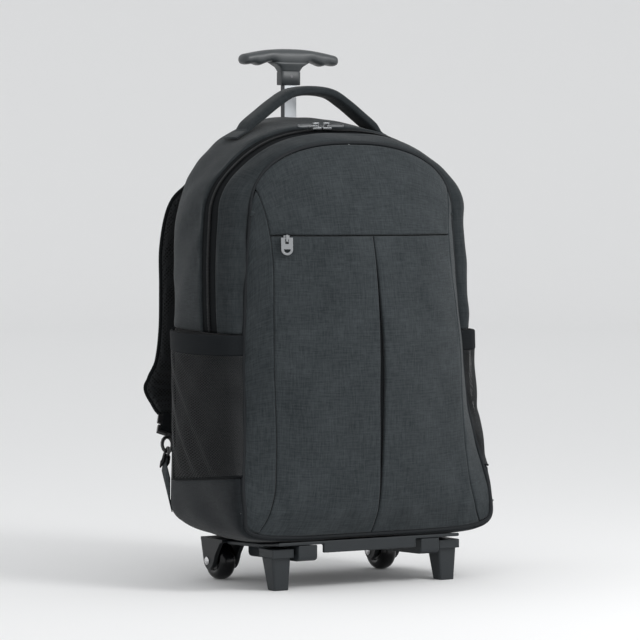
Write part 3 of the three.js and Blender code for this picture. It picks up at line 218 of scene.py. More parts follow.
tyre_rubber = moulded("tyre_rubber", (0.003, 0.003, 0.004), 0.2, 0.08, level=0.3)
hub_plastic = moulded("hub_plastic", (0.006, 0.006, 0.007), 0.34, 0.15, level=0.3)
axle_steel, _ = finish("axle_steel", 0.22, (0.62, 0.62, 0.63), metallic=1.0)
for side in ("left", "right"):
    low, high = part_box("wheel_tyre_" + side)
    middle = (low + high) / 2
    radius, half = (high.z - low.z) / 2, (high.x - low.x) / 2
    tyre = [(-half * 0.9, 0.0098)]
    for k in range(17):
        angle = math.pi * (k / 16)
        tyre.append((-half * math.copysign(abs(math.cos(angle)) ** 0.75, math.cos(angle)),
                     radius * 0.62 + radius * 0.38 * math.sin(angle) ** 0.8))
    tyre.append((half * 0.9, 0.0098))
    piece = turned("tyre_" + side, tyre, middle, 72, tyre_rubber, "wheel_" + side)
    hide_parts("wheel_tyre_" + side)
    rim = half * 0.86
    hub = [(-rim, 0.0034), (-rim, 0.0056), (-rim + 0.0016, 0.0062), (-rim + 0.0020, 0.0078), (-rim + 0.0006, 0.0086),
           (-rim + 0.0006, 0.0095), (rim - 0.0006, 0.0095), (rim - 0.0006, 0.0086), (rim - 0.0020, 0.0078),
           (rim - 0.0016, 0.0062), (rim, 0.0056), (rim, 0.0034)]
    piece = turned("hub_" + side, hub, middle, 48, hub_plastic, "wheel_" + side)
    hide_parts("wheel_hub_" + side)
    low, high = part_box("axle_" + side)
    reach = (high.x - low.x) / 2
    pin = [(-reach, 0.0), (-reach, 0.0016), (-reach + 0.0004, 0.0031), (-reach + 0.0012, 0.0042), (-reach + 0.0018, 0.0045),
           (-reach + 0.0018, 0.0029), (reach - 0.0018, 0.0029), (reach - 0.0018, 0.0045), (reach - 0.0012, 0.0042),
           (reach - 0.0004, 0.0031), (reach, 0.0016), (reach, 0.0)]
    piece = turned("axle_pin_" + side, pin, (low + high) / 2, 40, axle_steel, "bag")
    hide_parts("axle_" + side)

# The pull pole: three drawn aluminium tubes, one inside the other, with rounded corners, brushed light
# faces to the front and back, and sides painted dark as shade. The outer tube is fixed in the bag's back.
pole_face, pole_side_painted_shade = (0.50, 0.52, 0.54), (0.05, 0.053, 0.056)
pole_metal, shader = finish("pole_metal", 0.33, pole_face, metallic=1.0)
where = add(pole_metal, "ShaderNodeTexCoord").outputs["Object"]
drawn = add(pole_metal, "ShaderNodeMapping", {"Vector": where, "Scale": (5200.0, 5200.0, 18.0)})
lines = add(pole_metal, "ShaderNodeTexNoise", {"Vector": drawn.outputs["Vector"], "Scale": 1.0, "Detail": 2.0})
shade = add(pole_metal, "ShaderNodeMapRange", {"Value": lines.outputs["Fac"], "To Min": 0.26, "To Max": 0.42})
pole_metal.node_tree.links.new(shade.outputs["Result"], shader.inputs["Roughness"])
bumped(pole_metal, shader, lines.outputs["Fac"], 0.12, 0.0001)
# Painted shade: faces turned to the left or right get a dark colour in place of the metal's own.
facing = add(pole_metal, "ShaderNodeNewGeometry").outputs["Normal"]
sideways = add(pole_metal, "ShaderNodeSeparateXYZ", {"Vector": facing}).outputs["X"]
side_shade_share = add(pole_metal, "ShaderNodeMath", {0: sideways}, operation="ABSOLUTE").outputs[0]
side_shade_share = add(pole_metal, "ShaderNodeMapRange", {"Value": side_shade_share, "From Min": 0.45, "From Max": 0.75})
tone = add(pole_metal, "ShaderNodeMix", {"Factor": side_shade_share.outputs["Result"]}, data_type="RGBA")
tone.inputs[6].default_value = (*pole_face, 1)
tone.inputs[7].default_value = (*pole_side_painted_shade, 1)
pole_metal.node_tree.links.new(tone.outputs[2], shader.inputs["Base Color"])
for node, body in (("pole_outer", "bag"), ("pole_middle", "pole_middle"), ("pole_inner", "pole_inner")):
    eased(node, pole_metal, 0.0007, body, angle=40)

# The T handle: one hollow moulding with finger waves below and an arched top, held on the pole by a screw.
# Its shape is a row of rounded sections along the bar, joined to a square neck.


def row_values(rows, column, at):
    heights = np.array([row[0] for row in rows], float)
    values = np.array([row[column] for row in rows], float)
    at = np.asarray(at, float)
    last = len(rows) - 1
    before = np.maximum(np.arange(last + 1) - 1, 0)
    after = np.minimum(np.arange(last + 1) + 1, last)
    slope = (values[after] - values[before]) / (heights[after] - heights[before])
    i = np.clip(np.searchsorted(heights, at, side="left") - 1, 0, last - 1)
    step = heights[i + 1] - heights[i]
    s = np.clip((at - heights[i]) / step, 0, 1)
    return ((2 * s**3 - 3 * s**2 + 1) * values[i] + (s**3 - 2 * s**2 + s) * step * slope[i]
            + (3 * s**2 - 2 * s**3) * values[i + 1] + (s**3 - s**2) * step * slope[i + 1])


def lofted(name, rings, closed=False):
    rings = np.asarray(rings, float)
    count, sides = rings.shape[:2]
    faces = []
    for i in range(count if closed else count - 1):
        n = (i + 1) % count
        for j in range(sides):
            k = (j + 1) % sides
            faces.append((i * sides + j, i * sides + k, n * sides + k, n * sides + j))
    if not closed:
        faces += [tuple(range(sides))[::-1], tuple((count - 1) * sides + j for j in range(sides))]
    mesh = bpy.data.meshes.new(name)
    mesh.from_pydata((rings.reshape(-1, 3) * 0.001).tolist(), [], faces)
    made = bmesh.new()
    made.from_mesh(mesh)
    bmesh.ops.recalc_face_normals(made, faces=made.faces)
    made.to_mesh(mesh)
    made.free()
    return mesh


def rounded_ring(centre, across, through, half_across, half_through, sides, power):
    angle = (np.arange(sides) + 0.5) / sides * 2 * np.pi
    c, s = np.cos(angle), np.sin(angle)
    c = np.sign(c) * np.abs(c) ** power * half_across
    s = np.sign(s) * np.abs(s) ** power * half_through
    return np.asarray(centre) + np.outer(c, across) + np.outer(s, through)


back_plane = 80.3
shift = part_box("back_panel")[0].y * 1000 - back_plane
grip_rows = [(0, 1, 0), (0.2, 0.97, 0.1), (0.39, 0.86, 1.05), (0.52, 0.73, 0.75), (0.64, 0.57, 0.32), (0.76, 0.38, 0.6),
             (0.88, 0.16, 0.45), (1, 0, 0.45)]
low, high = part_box("grip")
grip_half, grip_back, grip_top = high.x * 1000, (low.y + high.y) * 500, high.z * 1000
grip_shape = []
for share in np.concatenate([[-1, -0.995, -0.98, -0.955], np.linspace(-0.93, 0.93, 63), [0.955, 0.98, 0.995, 1]]):
    wide = abs(share)
    end = max((wide - 0.9) / 0.1, 0)
    shrink = math.sqrt(max(1 - end**2.2, 0.02))
    top = grip_top - 6.5 + 6.5 * float(row_values(grip_rows, 1, wide))
    under = 531.4 + 5.4 * float(row_values(grip_rows, 2, wide))
    grip_shape.append(rounded_ring((share * grip_half, grip_back, (top + under) / 2), (0, 1, 0), (0, 0, 1),
                                   9.6 * shrink, (top - under) / 2 * shrink, 28, 0.8))
grip_plastic = moulded("grip_plastic", (0.040, 0.045, 0.048), 0.42, 0.3)
piece = new_piece("grip_bar", lofted("grip_bar", grip_shape), grip_plastic, "pole_inner")
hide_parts("grip")
neck = []
for high_at, wider, deeper in ((513, -0.7, -0.7), (513.4, 0, 0), (526.6, 0, 0), (527.2, -0.5, -0.5), (527.8, 0, 0),
                               (529.5, 0.7, 0.4), (532, 2.5, 1.2), (534.5, 6.5, 2.2), (537, 11, 2.6)):
    neck.append(rounded_ring((0, grip_back, high_at), (1, 0, 0), (0, 1, 0), 11.7 + wider, 6.5 + deeper, 32, 0.3))
new_piece("grip_neck", lofted("grip_neck", neck), grip_plastic, "pole_inner")
screw_steel, _ = finish("screw_steel", 0.3, (0.12, 0.12, 0.125), metallic=1.0)
eased("grip_screw", screw_steel, 0.0002, "pole_inner")

# The cut of the bag: a front edge that widens to its foot and an upright back edge, both arched at the top.
# The gusset swells between them, and the front swells forwards between two long seams.
side_rows = [(0, 1, 1), (0.07, 0.98, 0.86), (0.16, 0.81, 0.64), (0.25, 0.62, 0.46), (0.38, 0.47, 0.25), (0.5, 0.41, 0.15),
             (0.7, 0.25, 0.03), (0.85, 0.14, 0), (1, 0, 0)]
back_rows = [(0, 1), (0.3, 0.7), (0.7, 0.1), (1, 0)]
full_rows = [(0, 0), (0.1, 0.02), (0.2, 0.12), (0.3, 0.3), (0.4, 0.52), (0.5, 0.88), (0.62, 0.98), (0.74, 0.5), (0.86, 0.3),
             (1, 0.14)]
strip_rows = [(0, 0.09), (0.05, 0.15), (0.12, 0.187), (0.2, 0.182), (0.3, 0.168), (0.45, 0.15), (0.6, 0.15), (0.75, 0.155),
              (0.85, 0.128), (0.93, 0.082), (1, 0.035)]
front_cut = dict(bottom=53.6, corner=26.4, side=300, arch=71, low_power=5, arch_power=2.35,
                 width=lambda share: 120 + 26.5 * row_values(side_rows, 1, share))
back_cut = dict(bottom=45, corner=44, side=261, arch=126, low_power=3.4, arch_power=2.15,
                width=lambda share: 127 + 9 * row_values(back_rows, 1, share))
bag_middle = np.array([0, 10, 260])
front_at_top, gusset_back = 56, 80
top_depth = front_at_top + gusset_back
front_swell = 56


def cut_edge(place, cut):
    turned_by = np.mod(place, 2)
    side = np.where(turned_by > 1, -1, 1)
    half = np.where(turned_by > 1, 2 - turned_by, turned_by)
    bend_low = np.clip(half / 0.25, 0, 1) * np.pi / 2
    c, s = (np.maximum(turn(bend_low), 0) ** (2 / cut["low_power"]) for turn in (np.cos, np.sin))
    x, z = cut["width"](0 * half) * s, cut["bottom"] + cut["corner"] * (1 - c)
    share = np.clip((half - 0.25) / 0.35, 0, 1)
    up_side = half >= 0.25
    x = np.where(up_side, cut["width"](share), x)
    z = np.where(up_side, cut["bottom"] + cut["corner"] + share * cut["side"], z)
    bend_top = np.clip((half - 0.6) / 0.4, 0, 1) * np.pi / 2
    c, s = (np.maximum(turn(bend_top), 0) ** (2 / cut["arch_power"]) for turn in (np.cos, np.sin))
    over = half >= 0.6
    x = np.where(over, cut["width"](1 + 0 * half) * c, x)
    z = np.where(over, cut["bottom"] + cut["corner"] + cut["side"] + cut["arch"] * s, z)
    return side * x, z


def front_plane(z):
    return -(front_at_top + 36 * row_values(side_rows, 2, np.clip((z - 80) / 300, 0, 1)))


def gusset(place, depth):
    place, depth = np.broadcast_arrays(np.asarray(place, float), np.asarray(depth, float))

    def plain(at):
        fx, fz = cut_edge(at, front_cut)
        bx, bz = cut_edge(at, back_cut)
        front = front_plane(fz)
        return np.stack([fx + (bx - fx) * depth, front + (gusset_back - front) * depth, fz + (bz - fz) * depth], -1)

    ahead = plain(place + 0.004) - plain(place - 0.004)
    out = np.stack([ahead[..., 2], 0 * depth, -ahead[..., 0]], -1)
    out /= np.linalg.norm(out, axis=-1, keepdims=True)
    turned_by = np.mod(place, 2)
    half = np.where(turned_by > 1, 2 - turned_by, turned_by)
    over = np.clip((half - 0.6) / 0.22, 0, 1)
    over = over * over * (3 - 2 * over)
    swell = np.sqrt(np.maximum(1 - (2 * depth ** (0.6 + 0.35 * over) - 1) ** 2, 0))
    full = 6 + 22 * row_values(full_rows, 1, half)
    return plain(place) + out * (full * swell)[..., None]


def seam_across(up):
    return 1 - row_values(strip_rows, 1, np.clip(up, 0, 1))


def front_face(across, up):
    across, up = np.broadcast_arrays(np.asarray(across, float), np.asarray(up, float))
    wide = np.minimum(np.abs(across), 1)
    x = across * front_cut["width"](np.clip(up, 0, 1))
    low_edge = 53.6 + 26.4 * (1 - (1 - wide**5) ** 0.2)
    high_edge = 380 + 71 * (1 - wide**2.35) ** (1 / 2.35)
    z = low_edge + (high_edge - low_edge) * up
    seam = seam_across(up)
    inside = 0.5 + 0.5 * (1 - np.minimum(wide / seam, 1) ** 2.2)
    strip = 0.5 * (1 - np.clip((wide - seam) / (1 - seam), 0, 1)) ** 0.8
    arch = np.maximum(np.sin(np.pi * np.clip(up, 0, 1)), 0) ** 0.75
    forward = front_swell * arch * np.where(wide < seam, inside, strip)
    return np.stack([x, front_plane(z) - forward, z], -1)


def solve(low, high, amount, measure):
    low, high = np.array(low, float), np.array(high, float)
    for _ in range(20):
        middle = (low + high) / 2
        short = measure(middle) < amount
        low, high = np.where(short, middle, low), np.where(short, high, middle)
    return (low + high) / 2


# Every cloth panel is cut from grey melange cloth with slubs both ways, and is turned under at its seams.
# Its UV map is in metres along the threads, so the weave keeps its real size.


def waves(points, sizes, seed):
    rng = np.random.default_rng(seed)
    total = np.zeros(points.shape[:-1])
    for size, height in sizes:
        for _ in range(4):
            way = rng.normal(size=3)
            way *= 2 * np.pi / (size * rng.uniform(0.75, 1.35)) / np.linalg.norm(way)
            total += height / 2 * np.sin(points @ way + rng.uniform(0, 2 * np.pi))
    return total


def panel(name, surface, counts, material, lips="lrbt", raise_by=None, folds=None, node=None, wall=1.2,
          lip=3.2, hole=None, body="bag"):
    share = np.linspace(0, 1, 121)

    def lengths(line):
        return np.concatenate([[0], np.cumsum(np.linalg.norm(np.diff(line, axis=0), axis=1))])

    u_at, v_at = lengths(surface(share, 0.5 + 0 * share)), lengths(surface(0.5 + 0 * share, share))
    u_long, v_long = u_at[-1], v_at[-1]

    def steps(count, long, start, end):
        near = np.array([0.3, 0.8, 1.5, 2.6])
        inner = np.linspace(near[-1] if start else 0, long - near[-1] if end else long, count)
        return np.concatenate([np.concatenate([[0], near[:-1]]) if start else [], inner,
                               np.concatenate([long - near[:-1][::-1], [long]]) if end else []])

    u_mm = steps(counts[0], u_long, "l" in lips, "r" in lips)
    v_mm = steps(counts[1], v_long, "b" in lips, "t" in lips)
    grid_u, grid_v = np.meshgrid(np.interp(u_mm, u_at, share), np.interp(v_mm, v_at, share), indexing="ij")
    along_u, along_v = np.meshgrid(u_mm, v_mm, indexing="ij")
    points = surface(grid_u, grid_v)
    way_u, way_v = np.gradient(points, axis=0), np.gradient(points, axis=1)
    off = np.cross(way_u, way_v)
    off /= np.maximum(np.linalg.norm(off, axis=-1, keepdims=True), 1e-9)
    if np.sum(off * (points - bag_middle)) < 0:
        off = -off
    edge = np.full(grid_u.shape, 99.0)
    for side, distance in (("l", along_u), ("r", u_long - along_u), ("b", along_v), ("t", v_long - along_v)):
        if side in lips:
            edge = np.minimum(edge, distance)
    radius = 2.2
    round_off = radius - np.sqrt(np.maximum(radius**2 - np.maximum(radius - edge, 0) ** 2, 0))
    height = -round_off
    if folds is not None:
        height = height + folds(points, grid_u, grid_v) * np.clip(edge / 6, 0, 1)
    if raise_by is not None:
        height = height + raise_by(grid_u, grid_v)
    points = points + off * height[..., None]
    across_m, along_m = along_u / 1000, along_v / 1000

    def under(array, drop):
        for side, axis, where_at in (("l", 0, 0), ("r", 0, -1), ("b", 1, 0), ("t", 1, -1)):
            if side in lips:
                line = np.take(array, [where_at], axis=axis)
                if drop:
                    line = line - lip * np.take(under.off, [where_at], axis=axis)
                array = np.concatenate([line, array] if where_at == 0 else [array, line], axis=axis)
                if drop:
                    turned_off = np.take(under.off, [where_at], axis=axis)
                    both = [turned_off, under.off] if where_at == 0 else [under.off, turned_off]
                    under.off = np.concatenate(both, axis=axis)
        return array

    under.off = off
    points = under(points, True)
    across_m, along_m = under(across_m, False), under(along_m, False)
    rows, columns = points.shape[:2]
    faces = [(i * columns + j, (i + 1) * columns + j, (i + 1) * columns + j + 1, i * columns + j + 1)
             for i in range(rows - 1) for j in range(columns - 1)]
    mesh = bpy.data.meshes.new(name)
    mesh.from_pydata(((points + (0, shift, 0)) * 0.001).reshape(-1, 3).tolist(), [], faces)
    flat = np.stack([across_m, along_m], -1).reshape(-1, 2)
    corner = np.zeros(len(mesh.loops), np.int32)
    mesh.loops.foreach_get("vertex_index", corner)
    mesh.uv_layers.new(name="threads").data.foreach_set("uv", flat[corner].ravel())
    middle = (rows // 2) * columns + columns // 2
    a, b, c = (Vector(mesh.vertices[k].co) for k in (middle, middle + columns, middle + 1))
    if (b - a).cross(c - a).dot(Vector(under.off[rows // 2, columns // 2])) < 0:
        mesh.flip_normals()
    if hole:
        made = bmesh.new()
        made.from_mesh(mesh)
        for axis, value in ((0, hole[0]), (0, hole[1]), (1, hole[2] + shift), (1, hole[3] + shift)):
            way = (1, 0, 0) if axis == 0 else (0, 1, 0)
            bmesh.ops.bisect_plane(made, geom=made.verts[:] + made.edges[:] + made.faces[:], dist=1e-7,
                                   plane_co=tuple(w * value * 0.001 for w in way), plane_no=way)
        inside = [f for f in made.faces
                  if hole[0] < f.calc_center_median().x * 1000 < hole[1] and f.calc_center_median().z > 0.3
                  and hole[2] + shift < f.calc_center_median().y * 1000 < hole[3] + shift]
        bmesh.ops.delete(made, geom=inside, context="FACES")
        made.to_mesh(mesh)
        made.free()
    piece = new_piece(name, mesh, material, body)
    if wall:
        thick = piece.modifiers.new("cloth_thickness", "SOLIDIFY")
        thick.thickness = wall / 1000
        thick.offset = -1
    if node:
        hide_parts(*([node] if isinstance(node, str) else node))
    return piece


def melange(name, dark, light, where_from="UV"):
    material, shader = finish(name, 0.86, light, level=0.12)
    link = material.node_tree.links.new
    where = add(material, "ShaderNodeTexCoord").outputs[where_from]
    if where_from == "Object":
        laid = add(material, "ShaderNodeMapping", {"Vector": where, "Rotation": (math.radians(-90), 0, 0)})
        where = laid.outputs["Vector"]

    def thread(across, along, detail=2.0):
        stretched = add(material, "ShaderNodeMapping", {"Vector": where, "Scale": (across, along, 1.0)})
        noise = add(material, "ShaderNodeTexNoise",
                    {"Vector": stretched.outputs["Vector"], "Scale": 1.0, "Detail": detail})
        return noise.outputs["Fac"]

    def mixed(a, b, share):
        return add(material, "ShaderNodeMix", {"Factor": share, 2: a, 3: b}, data_type="FLOAT").outputs[0]

    slubs = mixed(thread(55, 620), thread(620, 55), 0.5)
    fine = mixed(thread(160, 1700), thread(1700, 160), 0.5)
    patches = thread(26, 26, 3.0)
    value = mixed(mixed(slubs, fine, 0.45), patches, 0.18)
    spread_out = add(material, "ShaderNodeMapRange", {"Value": value, "From Min": 0.4, "From Max": 0.6})
    tone = add(material, "ShaderNodeMix", {"Factor": spread_out.outputs["Result"]}, data_type="RGBA")
    tone.inputs[6].default_value = (*dark, 1)
    tone.inputs[7].default_value = (*light, 1)
    link(tone.outputs[2], shader.inputs["Base Color"])
    weft, warp = (add(material, "ShaderNodeTexWave", {"Vector": where, "Scale": 430.0, "Distortion": 0.6},
                      bands_direction=way) for way in "XY")
    weave = mixed(weft.outputs["Fac"], warp.outputs["Fac"], 0.5)
    relief = mixed(weave, slubs, 0.5)
    bumped(material, shader, relief, 0.55, 0.0004)
    shader.inputs["Sheen Weight"].default_value = 0.12
    shader.inputs["Sheen Roughness"].default_value = 0.4
    return material


grey_cloth = melange("grey_melange_cloth", (0.020, 0.0245, 0.027), (0.046, 0.053, 0.057))
zip_height, pleat_half = 357, 2.3


def up_at_height(height, across):
    shape = np.shape(across(0.5))
    return solve(np.zeros(shape), np.ones(shape), height, lambda up: front_face(across(up), up)[..., 2])


def upper_surface(u, v):
    across = lambda up: (2 * u - 1) * seam_across(up) * 0.999
    low_up = up_at_height(zip_height + 0.5, across)
    up = low_up + (0.997 - low_up) * v
    return front_face(across(up), up)


def front_folds(points, u, v):
    return waves(points, ((70, 0.55), (34, 0.22)), 4)


panel("front_upper", upper_surface, (120, 54), grey_cloth, folds=front_folds, node="front_upper_panel")
for side, sign in (("left", -1), ("right", 1)):

    def pocket_surface(u, v):
        opening = (0.2 + pleat_half * np.sin(np.pi * v) ** 2) / 120
        across = lambda up: sign * (opening + (seam_across(up) - 0.0015 - opening) * u)
        high_up = up_at_height(zip_height - 0.5, across)
        up = 0.002 + (high_up - 0.002) * v
        return front_face(across(up), up)

    def strip_surface(u, v):
        up = 0.004 + 0.985 * v
        seam = seam_across(up) + 0.002
        return front_face(sign * (seam + (1 - seam) * u), up)

    def pocket_folds(points, u, v):
        low = np.exp(-(((v - 0.06) / 0.05) ** 2)) * 0.5 * np.sin(points[..., 0] / 5.5 + 1.7 * np.sin(points[..., 0] / 17))
        return waves(points, ((80, 0.7), (40, 0.25)), 7) + low

    panel("front_pocket_panel_" + side, pocket_surface, (60, 130), grey_cloth, folds=pocket_folds,
          node="front_pocket_" + side)
    panel("front_strip_" + side, strip_surface, (14, 170), grey_cloth, lips="lbt",
          folds=lambda points, u, v: waves(points, ((45, 0.4), (22, 0.15)), 9), node="side_strip_" + side)

black_tape, shader = finish("black_woven_tape", 0.85, (0.006, 0.007, 0.008), level=0.1)
where = add(black_tape, "ShaderNodeTexCoord").outputs["Object"]
twill = add(black_tape, "ShaderNodeTexWave", {"Vector": where, "Scale": 260.0, "Distortion": 1.2},
            bands_direction="DIAGONAL")
bumped(black_tape, shader, twill.outputs["Fac"], 0.5, 0.0003)
for node in ("front_zip_tape", "pleat_backing"):
    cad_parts[node].data.materials.clear()
    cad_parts[node].data.materials.append(black_tape)

# The piping: a cord in a near-black cover, sewn into the seam all round the front.
around = np.linspace(0, 2, 421)[:-1]
edge_x, edge_z = cut_edge(around, front_cut)
line = np.stack([edge_x, front_plane(edge_z) + shift, edge_z], -1)
ahead = np.roll(line, -1, 0) - np.roll(line, 1, 0)
ahead /= np.linalg.norm(ahead, axis=1, keepdims=True)
across = np.cross((0, 1, 0), ahead)
across /= np.linalg.norm(across, axis=1, keepdims=True)
rings = [rounded_ring(p, a, np.cross(a, t), 1.9, 1.9, 12, 1) for p, t, a in zip(line, ahead, across)]
piping_tape = moulded("piping_tape", (0.012, 0.014, 0.016), 0.7, 0.6, level=0.2)
piece = new_piece("piping", lofted("piping", rings, closed=True), piping_tape, "bag")
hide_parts("front_piping")

# The gusset: melange cloth in a copy painted darker than the front as shade, swelling from the piping to the back seam
# in two halves over the top of the bag, with a hole for the pole. Between them runs the main zip on sunk black tape.


def place_at_height(height, depth):
    height, depth = np.broadcast_arrays(np.asarray(height, float), np.asarray(depth, float))
    return solve(np.full(height.shape, 0.1), np.full(height.shape, 0.97), height,
                 lambda place: gusset(place, depth)[..., 2])


def pocket_top(depth):
    return 259 + (depth - 0.5) * 3


def depth_between(front, rear, share):
    return front + (rear - front) * (np.asarray(share, float) ** 3 if front == 0 else np.asarray(share, float))


def over_the_top(front, rear):
    def surface(u, v):
        depth = depth_between(front, rear, v)
        start = place_at_height(pocket_top(depth) + 0.4, depth)
        return gusset(start + (2 - 2 * start) * u, depth)
    return surface


zip_front, zip_rear, edge_depth = 20 / top_depth, 46 / top_depth, 0
pole_hole = (-10.2, 10.2, 65.2, 78.8)


def gusset_folds(points, u, v):
    drawn_in = 0.35 * np.sin(points[..., 2] / 7 + 2 * np.sin(points[..., 0] / 40)) * np.exp(-((v - 0.02) / 0.12) ** 2)
    return waves(points, ((60, 0.8), (28, 0.25)), 12) + drawn_in


# Painted shade: the gusset's copy of the grey melange is made darker than the front's.
gusset_cloth_painted_shade = melange("gusset_melange_cloth_painted_shade", (0.014, 0.0175, 0.0195), (0.032, 0.037, 0.040))
panel("gusset_front", over_the_top(edge_depth, zip_front), (260, 22), gusset_cloth_painted_shade, "lrt", folds=gusset_folds,
      node="front_gusset")
panel("gusset_rear", over_the_top(zip_rear, 0.994), (260, 34), gusset_cloth_painted_shade, folds=gusset_folds,
      node="rear_gusset", hole=pole_hole)
tape_line = over_the_top(zip_front - 0.01, zip_rear + 0.01)
panel("main_zip_ribbon", tape_line, (220, 6), black_tape, lips="", raise_by=lambda u, v: -2.4 + 0 * u,
      node="main_zip_tape", wall=0.6)
coil_nylon, shader = finish("coil_nylon", 0.4, (0.010, 0.011, 0.012), level=0.25)
where = add(coil_nylon, "ShaderNodeTexCoord").outputs["Object"]
rub = add(coil_nylon, "ShaderNodeTexNoise", {"Vector": where, "Scale": 900.0})
bumped(coil_nylon, shader, rub.outputs["Fac"], 0.3, 0.0001)


def seam_tree(name):
    tree = bpy.data.node_groups.new(name, "GeometryNodeTree")
    tree.interface.new_socket("Line", in_out="INPUT", socket_type="NodeSocketGeometry")
    for title in ("Pitch", "Length", "Width", "Height"):
        tree.interface.new_socket(title, in_out="INPUT", socket_type="NodeSocketFloat")
    tree.interface.new_socket("Finish", in_out="INPUT", socket_type="NodeSocketMaterial")
    tree.interface.new_socket("Row", in_out="OUTPUT", socket_type="NodeSocketGeometry")
    link = tree.links.new
    start, end = tree.nodes.new("NodeGroupInput"), tree.nodes.new("NodeGroupOutput")
    curve = tree.nodes.new("GeometryNodeMeshToCurve")
    spaced = tree.nodes.new("GeometryNodeResampleCurve")
    spaced.mode = "LENGTH"
    link(start.outputs["Line"], curve.inputs["Mesh"])
    link(curve.outputs["Curve"], spaced.inputs["Curve"])
    link(start.outputs["Pitch"], spaced.inputs["Length"])
    tangent = tree.nodes.new("GeometryNodeInputTangent")
    out = tree.nodes.new("GeometryNodeInputNamedAttribute")
    out.data_type = "FLOAT_VECTOR"
    out.inputs["Name"].default_value = "out"
    along = tree.nodes.new("FunctionNodeAlignRotationToVector")
    along.axis = "X"
    link(tangent.outputs["Tangent"], along.inputs["Vector"])
    upright = tree.nodes.new("FunctionNodeAlignRotationToVector")
    upright.axis = "Z"
    upright.pivot_axis = "X"
    link(along.outputs["Rotation"], upright.inputs["Rotation"])
    link(out.outputs["Attribute"], upright.inputs["Vector"])
    bead = tree.nodes.new("GeometryNodeMeshIcoSphere")
    bead.inputs["Radius"].default_value = 0.5
    bead.inputs["Subdivisions"].default_value = 2
    size = tree.nodes.new("ShaderNodeCombineXYZ")
    for axis, title in zip("XYZ", ("Length", "Width", "Height")):
        link(start.outputs[title], size.inputs[axis])
    placed = tree.nodes.new("GeometryNodeInstanceOnPoints")
    link(spaced.outputs["Curve"], placed.inputs["Points"])
    link(bead.outputs["Mesh"], placed.inputs["Instance"])
    link(upright.outputs["Rotation"], placed.inputs["Rotation"])
    link(size.outputs["Vector"], placed.inputs["Scale"])
    real = tree.nodes.new("GeometryNodeRealizeInstances")
    painted = tree.nodes.new("GeometryNodeSetMaterial")
    link(placed.outputs["Instances"], real.inputs["Geometry"])
    link(real.outputs["Geometry"], painted.inputs["Geometry"])
    link(start.outputs["Finish"], painted.inputs["Material"])
    link(painted.outputs["Geometry"], end.inputs["Row"])
    return tree


seam_row = seam_tree("seam_row")


def from_tree(name, mesh, tree, values, material, body="bag"):
    holder = bpy.data.objects.new(name + "_line", mesh)
    bpy.context.scene.collection.objects.link(holder)
    modifier = holder.modifiers.new("row", "NODES")
    modifier.node_group = tree
    for item in tree.interface.items_tree:
        if item.item_type == "SOCKET" and item.in_out == "INPUT" and item.name in values:
            modifier[item.identifier] = values[item.name]
        if item.item_type == "SOCKET" and item.in_out == "INPUT" and item.name == "Finish":
            modifier[item.identifier] = material
    made = bpy.data.meshes.new_from_object(holder.evaluated_get(bpy.context.evaluated_depsgraph_get()))
    bpy.data.objects.remove(holder)
    made.name = name
    return new_piece(name, made, material, body)


def line_mesh(lines):
    places, outs, edges = [], [], []
    for line, out in lines:
        first = len(places)
        places += (np.asarray(line) * 0.001).tolist()
        outs += np.broadcast_to(out, np.shape(line)).tolist()
        edges += [(first + i, first + i + 1) for i in range(len(line) - 1)]
    mesh = bpy.data.meshes.new("line")
    mesh.from_pydata(places, edges, [])
    mesh.attributes.new("out", "FLOAT_VECTOR", "POINT").data.foreach_set("vector", np.array(outs, float).ravel())
    return mesh


def row_of(name, lines, material, pitch=3.0, length=2.1, width=0.7, height=0.55, body="bag"):
    return from_tree(name, line_mesh(lines), seam_row,
                     {"Pitch": pitch / 1000, "Length": length / 1000, "Width": width / 1000, "Height": height / 1000},
                     material, body)


def on_surface(surface, u, v, rise):
    u, v = np.broadcast_arrays(np.asarray(u, float), np.asarray(v, float))
    step = 1e-3
    here = surface(u, v)
    out = np.cross(surface(u + step, v) - surface(u - step, v), surface(u, v + step) - surface(u, v - step))
    out /= np.linalg.norm(out, axis=-1, keepdims=True)
    out *= np.sign(np.sum(out * (here - bag_middle), axis=-1, keepdims=True))
    return here + out * rise + (0, shift, 0), out


along = np.linspace(0.002, 0.998, 400)
row_of("main_zip_coil", [on_surface(tape_line, along, 0.5 + 0 * along, -1.3)], coil_nylon,
       pitch=1.5, length=1.25, width=5.2, height=2.0)

# The sides and the underside: near-black cloth behind the net pockets, and below them a foot of
# grey cloth that wraps from side to side under the bag, in a copy painted much darker as shade.


def pocket_bottom(depth):
    return 112 - 14 * depth + 14 / 3


def side_surface(sign, low, high, front=edge_depth, rear=0.994):
    def surface(u, v):
        depth = depth_between(front, rear, u)
        z = low(depth) + (high(depth) - low(depth)) * v
        return gusset(sign * place_at_height(z, depth), depth)
    return surface


def underside(u, v):
    depth = depth_between(edge_depth, 0.994, v)
    reach = place_at_height(pocket_bottom(depth) - 0.3, depth)
    return gusset(reach * (2 * u - 1), depth)


# The cloth behind the net pockets is coloured near black.
near_black_side_cloth = melange("black_side_cloth", (0.003, 0.0035, 0.004), (0.007, 0.008, 0.009))
# Painted shade: the foot's copy of the grey melange is made much darker than the front's.
foot_cloth_painted_shade = melange("foot_melange_cloth_painted_shade", (0.008, 0.0095, 0.011), (0.018, 0.021, 0.0235))
panel("foot_panel", underside, (200, 40), foot_cloth_painted_shade, "lr",
      folds=lambda points, u, v: waves(points, ((70, 0.7), (32, 0.25)), 21), node="bottom_panel")
for side, sign in (("left", -1), ("right", 1)):
    panel("pocket_lining_" + side, side_surface(sign, pocket_bottom, pocket_top), (40, 60), near_black_side_cloth,
          "bt",
          folds=lambda points, u, v: waves(points, ((50, 0.8),), 23), node="side_panel_" + side)

